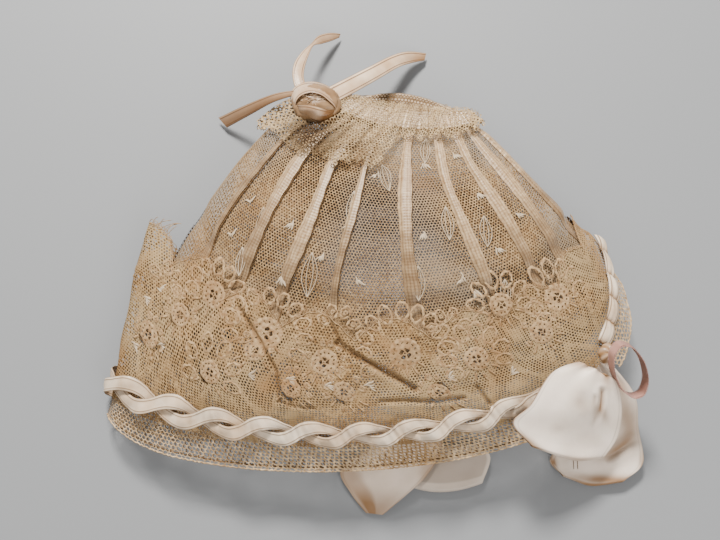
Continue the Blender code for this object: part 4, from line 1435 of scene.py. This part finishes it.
# The rosebud's two wraps, as ribs across them: x and y in the photograph and the
# height of one edge, the same of the other edge, and the puff between them.
HOOD = (
    (293.0, 106.0, 23.0, 298.5, 111.5, 26.5, 0.5), (290.5, 97.0, 22.6, 296.0, 103.5, 29.0, 1.3),
    (294.5, 87.5, 22.4, 300.5, 96.5, 30.4, 1.9), (304.5, 82.5, 22.4, 310.0, 92.8, 31.2, 2.2),
    (317.0, 82.5, 22.4, 320.5, 95.0, 31.2, 2.2), (330.0, 87.5, 22.4, 328.5, 101.0, 30.6, 2.0),
    (339.5, 97.5, 22.6, 334.5, 107.5, 29.0, 1.5), (341.5, 108.0, 22.6, 334.0, 113.0, 26.5, 0.6))
FRONT_WRAP = (
    (294.5, 101.5, 26.0, 297.5, 110.5, 24.0, 0.4), (298.5, 104.5, 29.6, 301.5, 116.5, 25.2, 1.2),
    (308.0, 104.8, 31.4, 310.5, 120.6, 25.8, 1.7), (319.0, 107.4, 31.4, 320.0, 123.6, 26.0, 1.7),
    (329.0, 110.0, 30.2, 327.5, 124.0, 25.4, 1.2), (337.0, 109.0, 27.0, 334.5, 124.5, 24.0, 0.4))
# Along each wrap, "shade" paints light and shade on the tan satin: dark at its ends, where it turns under, palest
# where the bud's top catches the light, and darker along one edge.
for name, ribs, shade in (("rosette_bud", HOOD, (0.75, 0.02, 0.30, 0.42, 0.40, 0.5)),
                          ("rosette_front_wrap", FRONT_WRAP, (0.75, 0.45, 0.66, 0.40, 1.1, 1.5))):
    grid = ribs_to_grid(ribs, 72, 15)
    run = np.linspace(0.0, 1.0, 72)[:, None]
    across = np.linspace(0.0, 1.0, 15)[None, :]
    grid[..., 2] += 0.16 * np.sin(9.0 * across + 14.0 * run) * np.sin(math.pi * across)
    shade_and_soil = np.interp(run + 0.10 * across, np.linspace(0.0, 1.0, len(shade)), shade)
    wrap = cloth_grid(name, under_px(grid, grid[..., 2]), 0.35, shade=shade_and_soil + 0.15 * across)
    dress(wrap, "rosette", tan_satin, "tan_satin")
worn_satin = satin("worn_satin", (0.605, 0.446, 0.302), (0.288, 0.166, 0.079), (0.187, 0.085, 0.026),
                   edge_line=0.0, crumple=12.0)
# The core sits in the bud's hollow, so its satin is darker: painted shade.
hollow_shade_satin = satin("hollow_shade_satin", (0.288, 0.173, 0.086), (0.187, 0.101, 0.043), (0.144, 0.072, 0.029),
                   edge_line=0.0)
for name, place, size, crumple, finish in (
        ("rosette_core", (316.5, 103.5, 26.6), (8.7, 7.0, 3.9), 0.08, hollow_shade_satin),
        ("rosette_crumpled_end", (313.5, 99.5, 28.9), (4.2, 1.9, 1.6), 0.55, worn_satin)):
    core, ball = round_piece(name, 64, 32)
    bumps = 1.0 + crumple * np.array([
        lumps.fractal(2.2 * Vector(point) + Vector((7.0, 2.0, 0.0)), 0.6, 2.4, 4) for point in ball])
    middle = under_px(np.array(place), np.array(place[2]))
    put_points(core, middle + ball * bumps[:, None] * np.array(size))
    bpy.ops.object.shade_smooth()
    dress(core, "rosette", finish, "tan_satin")
dice = random.Random(5)
frays = []
for k in range(9):
    turn = dice.uniform(0.0, 6.3)
    reach = np.linspace(0.0, 1.0, 7)[:, None]
    lean = np.array((math.cos(turn), math.sin(turn), 0.0))
    start = middle + lean * 1.2 + np.array((0.0, 0.0, 1.0))
    bow_up = np.array((0.0, 0.3, 0.95)) * (1.9 * reach - 1.5 * reach**2)
    frays.append(start + lean * reach * dice.uniform(1.2, 2.0) + bow_up)
frayed = threads("rosette_frayed_end", frays, 0.10)
dress(frayed, "rosette", tan_satin, "tan_satin")


# The tails' ribs: x and y in the photograph and the height of both edges, and the arch

TAILS = {
    "tail_left": (
        (294.0, 90.8, 25.0, 294.0, 95.4, 25.0, 0.2), (283.0, 92.2, 22.6, 283.5, 98.6, 22.6, 0.3),
        (270.0, 95.4, 19.0, 270.5, 103.6, 18.6, 0.4), (245.5, 105.2, 11.0, 250.0, 115.0, 10.6, 0.4),
        (218.6, 117.8, 2.0, 227.0, 127.6, 2.0, 0.2)),
    "tail_top": (
        (294.5, 86.0, 22.6, 305.5, 86.0, 22.6, 0.3), (292.6, 74.5, 20.4, 303.6, 76.4, 20.4, 0.5),
        (294.8, 62.5, 17.4, 304.8, 66.8, 17.4, 0.5), (302.4, 51.8, 13.6, 308.4, 55.6, 14.4, 0.3),
        (311.6, 43.6, 10.2, 313.2, 46.0, 11.0, 0.0), (318.6, 36.0, 8.0, 321.0, 44.0, 8.0, 0.3),
        (329.6, 33.2, 4.8, 331.0, 41.0, 4.8, 0.3), (340.4, 34.0, 2.0, 339.2, 37.4, 2.0, 0.0)),
    "tail_right": (
        (327.5, 88.0, 24.0, 337.5, 101.6, 24.0, 0.3), (350.0, 76.6, 20.0, 356.0, 91.6, 20.0, 0.5),
        (371.2, 66.0, 15.0, 377.2, 79.6, 15.0, 0.5), (391.4, 56.0, 9.4, 397.8, 67.6, 9.4, 0.4),
        (407.6, 51.8, 5.0, 411.8, 63.0, 5.0, 0.4), (426.0, 53.6, 2.0, 424.4, 60.4, 2.0, 0.1))}
TAIL_SHADE = {                # how tan each is, from the rosette to its end
    "tail_left": (0.75, 0.80, 0.86, 0.80), "tail_top": (0.40, 0.30, 0.38, 0.60, 0.66),
    "tail_right": (0.15, 0.0, 0.0, 0.10, 0.55, 0.66)}
TAIL_ACROSS = 0.0042          # metres: one middle value, as the tails narrow where they turn
for node, ribs in TAILS.items():
    grid = ribs_to_grid(ribs, 90, 13)
    grid = under_px(grid, grid[..., 2])
    side = np.linspace(-1.0, 1.0, 13)
    grid[..., 2] += corded(side)
    stops = np.linspace(0.0, 1.0, len(TAIL_SHADE[node]))
    shade_and_soil = np.interp(np.linspace(0.0, 1.0, 90), stops, TAIL_SHADE[node])
    tail = cloth_grid("satin_" + node, grid, 0.28, shade=shade_and_soil[:, None] + 0.12 * side)
    dress(tail, node, tan_satin, "tan_satin")
    middle_line = grid[:, 6] * MM
    run = float(np.linalg.norm(np.diff(middle_line, axis=0), axis=1).sum())
    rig.cord(tail, exit=tuple(middle_line[0].tolist()), length=run, diameter=TAIL_ACROSS, far_end="bare",
            stiffness="limp", lay="loose", path=[tuple(point) for point in middle_line[::6].tolist()])


# Side bow
# Wide ivory satin ribbon tied at the upper cheek: a full front loop, a back loop
# low over the table, and a small knot on the ribbons. Each loop is one length
# of ribbon that runs out, turns over and comes back below.

BOW_RIBBON, FOLDED_RIBBON = 36.0, 24.0       # the back loop's is taken as folded lengthwise
LOOP_DEPTH = 2.4
LOOP_ROWS, LOOP_COLUMNS, TURN_ROWS = 64, 33, 7
KNOT_SPOT = (0.97, phi_of(0.785))
FRONT_LOOP = (
    (69.6, -34.4, 27.2, 79.6, -39.2, 25.6, 0.6), (60.0, -38.6, 29.2, 83.5, -42.0, 24.0, 0.8),
    (52.5, -49.5, 29.6, 86.0, -51.0, 18.5, 0.6), (47.0, -56.0, 28.8, 85.0, -60.5, 13.0, 0.2),
    (53.5, -63.5, 25.4, 80.5, -67.5, 11.5, 0.6))
BACK_LOOP = (
    (75.5, -35.0, 17.9, 82.5, -33.5, 16.6, 0.3), (80.0, -46.0, 12.0, 92.5, -45.0, 12.0, 0.4),
    (73.0, -58.0, 5.5, 95.0, -57.0, 6.0, 0.8), (64.0, -68.0, 4.0, 96.0, -69.5, 4.2, 0.5),
    (68.0, -74.0, 3.6, 89.0, -76.0, 3.8, 0.2))


def loop_grid(ribs, depth, along=LOOP_ROWS, across=LOOP_COLUMNS, fullness=1.0):
    """Ribbon that runs out along the ribs, folds over and comes back below."""
    top = ribs_to_grid(ribs, along, across)
    u = np.linspace(0.0, 1.0, along)[:, None]
    w = np.linspace(-1.0, 1.0, across)[None, :]
    gathers = np.sin(9.0 * w + 1.5 * u) * np.exp(-u / 0.16) * 0.9
    gathers = gathers + 0.45 * np.sin(6.0 * w + 0.8 - 1.2 * u) * np.exp(-u / 0.5)
    billow = (1.0 - w * w) * np.sin(math.pi * np.minimum(u * 1.15, 1.0)) * 1.3
    droop = 0.35 * np.sin(5.0 * w + 4.0 * u) * smooth(0.1, 0.5, u)
    top[..., 2] += fullness * (gathers + billow + droop)
    ahead = unit(top[-1] - top[-2])
    top += ahead * ((2.4 * (1.0 - w * w) - 1.2) * smooth(0.45, 1.0, u))[..., None]
    turns = []
    for k in range(1, TURN_ROWS + 1):
        angle = math.pi * k / (TURN_ROWS + 1)
        drop = np.array((0.0, 0.0, -0.5 * depth * (1.0 - math.cos(angle))))
        turns.append(top[-1] + ahead * (0.5 * depth * math.sin(angle)) + drop)
    under = top[::-1].copy()
    under[..., 2] -= depth + fullness * (gathers + billow)[::-1] * 0.9
    return np.concatenate((top, np.stack(turns), under))


def groove(points, line, depth, width):
    """Press a crease into the satin along a line in the photograph's pixels, as deep
    as depth in millimetres and width pixels wide, and say where it is."""
    along = np.linspace(0.0, 1.0, 48)
    stops = np.linspace(0.0, 1.0, len(line))
    line = np.stack([np.interp(along, stops, [spot[k] for spot in line]) for k in (0, 1)], axis=1)
    gaps = np.linalg.norm(photo_px(points)[..., None, :] - line, axis=-1)
    nearest = np.argmin(gaps, axis=-1)
    gap = np.take_along_axis(gaps, nearest[..., None], axis=-1)[..., 0]
    taper = np.sin(math.pi * (0.30 + 0.70 * along))[nearest]
    points[..., 2] -= depth * taper * (np.exp(-(gap / width) ** 2) - 0.4 * np.exp(
        -((gap - 2.2 * width) / (1.2 * width)) ** 2))
    return taper * np.exp(-(gap / (1.4 * width)) ** 2)


def tan_and_shade_marks(points, marks):
    """Tan patches, of old satin and of painted shade: x, y, half length and half width in
    the photograph's pixels, the turn in degrees, and how strong."""
    seen = photo_px(points)
    total = np.zeros(seen.shape[:-1])
    for x, y, long, wide, turn, strong in marks:
        ahead = np.array((math.cos(math.radians(turn)), math.sin(math.radians(turn))))
        run = (seen - np.array((x, y))) @ ahead
        side = (seen - np.array((x, y))) @ np.array((-ahead[1], ahead[0]))
        total += strong * np.exp(-(run / long) ** 2 - (side / wide) ** 2)
    return total


def loop_shade(pressed, knot, marks):
    """How tan a loop is, with the tan of old satin and with painted shade: by its knot,
    in its creases, in its marks, at its edges, at its turn and below.
    """
    u = np.linspace(0.0, 1.0, pressed.shape[0])[:, None]
    w = np.linspace(-1.0, 1.0, pressed.shape[1])[None, :]
    top = knot * np.exp(-u / 0.10) + 0.75 * pressed + marks
    top = np.clip(top + 0.10 * np.sin(3.1 * w + 5.0 * u) ** 4 + 0.22 * smooth(0.94, 1.0, np.abs(w)), 0.0, 1.0)
    return np.concatenate((top, np.repeat(top[-1:], TURN_ROWS, axis=0) + 0.25, np.full_like(top, 0.75)))


def cloth_size(grid, width):
    """Flat size of a ribbon of that width whose middle line is the grid's."""
    middle_line = grid[:, grid.shape[1] // 2]
    return width * MM, float(np.linalg.norm(np.diff(middle_line, axis=0), axis=1).sum()) * MM


ivory_satin = satin("ivory_satin", (1.0, 0.865, 0.735), (0.88, 0.745, 0.61), (0.26, 0.135, 0.052),
                    roughness=0.36, edge_line=0.32, crumple=9.0, wide=True)
front = loop_grid(FRONT_LOOP, LOOP_DEPTH)
front_top = front[:LOOP_ROWS]
# Its creases are pressed in and painted darker, as shade; its marks add tan and painted shade.
pressed = groove(front_top, ((602, 390), (601, 404), (597, 416), (590, 429)), 1.3, 2.0)
pressed += 0.6 * groove(front_top, ((595, 396), (594.5, 408), (592, 420)), 0.6, 1.5)
pressed += 0.15 * groove(front_top, ((584, 398), (579, 412)), 0.5, 6.0)
front_marks = tan_and_shade_marks(front_top, (
    (606, 370, 15, 5.0, 85, 1.0), (604, 414, 9, 4, 70, 0.5), (582, 404, 12, 8, 60, 0.28),
    (557, 428, 7, 5, 0, 0.26), (594, 442, 12, 8, 20, 0.24), (531, 443, 26, 3.6, 38, 0.7),
    (585, 459, 24, 2.6, 5, 0.5), (582, 364, 22, 5.0, 8, 0.36), (548, 402, 22, 7, -55, 0.10)))
bow_front = cloth_grid("bow_front_loop", front, 0.30, shade=loop_shade(pressed, 0.45, front_marks))
dress(bow_front, "side_bow_front", ivory_satin, "ivory_satin")
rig.sheet(bow_front, flat=cloth_size(front, BOW_RIBBON), held="folded", rests_on=["bow_back_loop"])
back = loop_grid(BACK_LOOP, LOOP_DEPTH, fullness=0.7)
back_top = back[:LOOP_ROWS]
# The back loop's fold is painted a little darker, as shade; its marks add tan and painted shade.
pressed = 0.25 * groove(back_top, ((608, 457), (622, 449), (638, 437)), 1.3, 3.2)
back_marks = tan_and_shade_marks(back_top, (
    (627, 418, 26, 11, 78, 0.68), (616, 447, 20, 7.0, -36, 0.60), (608, 480, 44, 6.5, 3, 0.85),
    (553, 464, 9, 4.0, 90, 1.0), (642, 462, 12, 3.0, 90, 0.6), (622, 386, 10, 6, 60, 0.5),
    (600, 462, 60, 60, 0, 0.12)))
bow_back = cloth_grid("bow_back_loop", back, 0.30, shade=loop_shade(pressed, 0.40, back_marks))
dress(bow_back, "side_bow_back", ivory_satin, "ivory_satin")
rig.sheet(bow_back, flat=cloth_size(back, FOLDED_RIBBON), held="folded", rests_on=["bow_knot"])
stitches = []
for x in (573.4, 577.4):
    spots_px = np.stack((np.linspace(x, x + 0.4, 5), np.linspace(460.5, 469.0, 5)), axis=1)
    gaps = np.linalg.norm(photo_px(back_top).reshape(-1, 1, 2) - spots_px, axis=2)
    stitches.append(under_px(spots_px, back_top.reshape(-1, 3)[gaps.argmin(axis=0), 2] + 0.3))
old_stitches = threads("bow_old_stitches", stitches, 0.10)
dress(old_stitches, None, edge_cotton, "ivory_satin")

knot, ball = round_piece("bow_knot", 36, 18)
turn = np.arctan2(ball[:, 1], ball[:, 0])
wraps = 1.0 + 0.05 * np.sin(5.0 * turn + 2.5 * ball[:, 2]) + 0.03 * np.sin(11.0 * turn)
knot_up = outward(*KNOT_SPOT)
knot_side = unit(np.cross(UP, knot_up))
knot_front = np.cross(knot_up, knot_side)
knot_centre = skin(*KNOT_SPOT, 4.4)
put_points(knot, knot_centre + (
    ball[:, :1] * knot_side * 3.6 + ball[:, 1:2] * knot_front * 3.3 + ball[:, 2:] * knot_up * 2.5)
    * wraps[:, None])
bpy.ops.object.shade_smooth()
set_values(knot, "shade", np.clip(0.92 + 0.10 * np.sin(7.0 * turn + 3.0 * ball[:, 2]), 0.0, 1.0))
dress(knot, "side_bow_knot", ivory_satin, "ivory_satin")


# Pink loop
# A loop of narrow dusty pink ribbon with a picot edge, caught in the bow's knot.

PINK_CENTRE = np.array((87.1, -37.3, 25.8))
PINK_LONG, PINK_WIDE = 11.0, 5.6
long_way = unit(np.array((0.45, -0.72, -0.53)))
wide_way = unit(np.array((0.80, 0.58, 0.12)))
side_way = np.cross(long_way, wide_way)

pink_satin = satin("pink_satin", (0.443, 0.25, 0.207), (0.328, 0.164, 0.129), (0.214, 0.093, 0.064),
                   roughness=0.42, edge_line=0.0)
hoop_angle = np.linspace(0.0, 2.0 * math.pi, 97)[:-1]


def hoop(angle, side, swell=0.0):
    """Points of the pink loop; side runs across the ribbon, in millimetres."""
    angle, side = np.broadcast_arrays(angle, side)
    return (PINK_CENTRE + long_way * ((PINK_LONG + swell) * np.cos(angle))[..., None]
            + wide_way * ((PINK_WIDE + swell) * np.sin(angle))[..., None] + side_way * side[..., None])


sides = np.linspace(-2.0, 2.0, 7)
pink_grid = hoop(hoop_angle[:, None], sides[None, :], 0.15 * np.sin(9.0 * hoop_angle)[:, None])
# Painted shade: the loop is darker on its right, inner side.
pink_shade = 0.10 + 0.50 * smooth(-0.3, 0.8, np.sin(hoop_angle))[:, None]
pink_loop = cloth_grid("pink_ribbon_loop", pink_grid, 0.30, wrap=True, shade=pink_shade)
dress(pink_loop, "pink_loop", pink_satin, "pink_ribbon")
picots = []
for centre in np.linspace(0.0, 2.0 * math.pi, 53)[:-1]:
    bend = np.linspace(0.0, math.pi, 6)
    for edge in (-1.0, 1.0):
        picots.append(hoop(centre + 0.055 * np.cos(bend), edge * (1.95 + 0.55 * np.sin(bend))))
picot_edge = threads("pink_picots", picots, 0.12, resolution=0)
dress(picot_edge, "pink_loop", pink_satin, "pink_ribbon")


# Far bow
# The bow of the lower cheek is pushed out under the frill and lies on the table:
# a pointed leaf of satin, and a thin loop beside it that is nearly sheer.

FAR_LEAF = (
    (8.0, -53.5, 2.6, 25.0, -55.0, 4.6, 0.8), (-1.0, -63.0, 3.0, 23.0, -66.0, 5.2, 1.2),
    (-12.5, -71.5, 2.4, 18.0, -74.0, 5.0, 1.4), (-9.0, -80.0, 1.8, 11.0, -80.5, 3.6, 1.0),
    (-3.5, -87.0, 1.2, 2.5, -87.6, 1.4, 0.3))
FAR_LOOP = (
    (22.0, -63.5, 3.0, 36.0, -62.5, 3.0, 0.3), (16.0, -70.5, 3.0, 41.5, -67.0, 3.2, 0.3),
    (13.5, -78.0, 3.0, 38.5, -76.5, 3.0, 0.2))

LEAF_ROWS, LEAF_COLUMNS, FAR_LOOP_ROWS = 60, 31, 48
LEAF_RIBBON, FAR_LOOP_RIBBON = 26.0, 24.0    # widths taken where they show, to fit the meshes

leaf = ribs_to_grid(FAR_LEAF, LEAF_ROWS, LEAF_COLUMNS)
run, side = np.linspace(0.0, 1.0, LEAF_ROWS)[:, None], np.linspace(-1.0, 1.0, LEAF_COLUMNS)[None, :]
leaf[..., 2] += 0.5 * np.sin(4.0 * side + 5.0 * run) * (1.0 - side**2) * np.sin(math.pi * run)
# Painted shade: the leaf lies low under the frill, and darkens towards its point, along diagonal folds and at its
# edges.
leaf_shade = 0.42 + 0.45 * smooth(0.6, 1.0, run) + 0.28 * smooth(0.2, 0.9, np.sin(3.0 * side - 4.0 * run))
leaf_shade = leaf_shade + 0.2 * smooth(0.9, 1.0, np.abs(side))
far_leaf = cloth_grid("far_bow_satin_leaf", leaf, 0.30, shade=leaf_shade)
dress(far_leaf, "far_bow_leaf", ivory_satin, "ivory_satin")
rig.sheet(far_leaf, flat=cloth_size(leaf, LEAF_RIBBON), held="laid", rests_on=["far_bow_thin_loop"])
far_grid = loop_grid(FAR_LOOP, LOOP_DEPTH, along=FAR_LOOP_ROWS, fullness=0.25)
run, side = np.linspace(0.0, 1.0, FAR_LOOP_ROWS)[:, None], np.linspace(-1.0, 1.0, LOOP_COLUMNS)[None, :]
hem = np.maximum(smooth(0.84, 0.88, run), smooth(0.88, 0.92, np.abs(side)))
sheer = np.concatenate((0.62 - 0.5 * hem, np.full((TURN_ROWS, LOOP_COLUMNS), 0.15), np.full_like(hem, 0.6)))
far_loop = cloth_grid("far_bow_thin_loop", far_grid, 0.22, shade=sheer)
thin_satin = satin("thin_satin", (0.63, 0.539, 0.448), (0.56, 0.462, 0.371), (0.231, 0.175, 0.133), rib=1.6,
                   edge_line=0.0)
dress(far_loop, "far_bow_loop", thin_satin, "ivory_satin")
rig.sheet(far_loop, flat=cloth_size(far_grid, FAR_LOOP_RIBBON), held="folded", rests_on=["far_bow_satin_leaf"])


# Table and light
# A plain pale table top, under a window light from the crown's side, a weak
# fill from the front and an even light from the room.

bpy.ops.object.select_all(action="DESELECT")
bpy.ops.mesh.primitive_plane_add(size=3.0, location=(0.0, 0.0, 0.0))
table = bpy.context.object
table.name = "table_top"
table_finish, _, table_shader = new_material("pale_table")
table_shader.inputs["Base Color"].default_value = (0.228, 0.236, 0.245, 1.0)
table_shader.inputs["Roughness"].default_value = 0.55
table.data.materials.append(table_finish)
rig.stage(table)


def soft_light(name, place, size, power, colour):
    """Area light that faces the bonnet."""
    data = bpy.data.lights.new(name, "AREA")
    data.shape = "RECTANGLE"
    data.size, data.size_y = size
    data.energy = power
    data.color = colour
    light = bpy.data.objects.new(name, data)
    bpy.context.collection.objects.link(light)
    light.location = place
    light.rotation_euler = (-Vector(place)).to_track_quat("-Z", "Y").to_euler()


soft_light("window", (-0.13, 0.78, 0.745), (0.24, 0.20), 31.9, (1.0, 0.97, 0.93))
soft_light("front_fill", (0.45, -0.75, 0.7), (0.8, 0.6), 6.4, (1.0, 0.98, 0.96))
world = bpy.data.worlds.new("room")
bpy.context.scene.world = world
world.use_nodes = True
world.node_tree.nodes["Background"].inputs["Color"].default_value = (1.0, 0.985, 0.965, 1.0)
world.node_tree.nodes["Background"].inputs["Strength"].default_value = 0.62

with open("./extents.json", "w") as out:
    json.dump({"cad": cad_box, "visual": [list(corner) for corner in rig.bounds()]}, out)
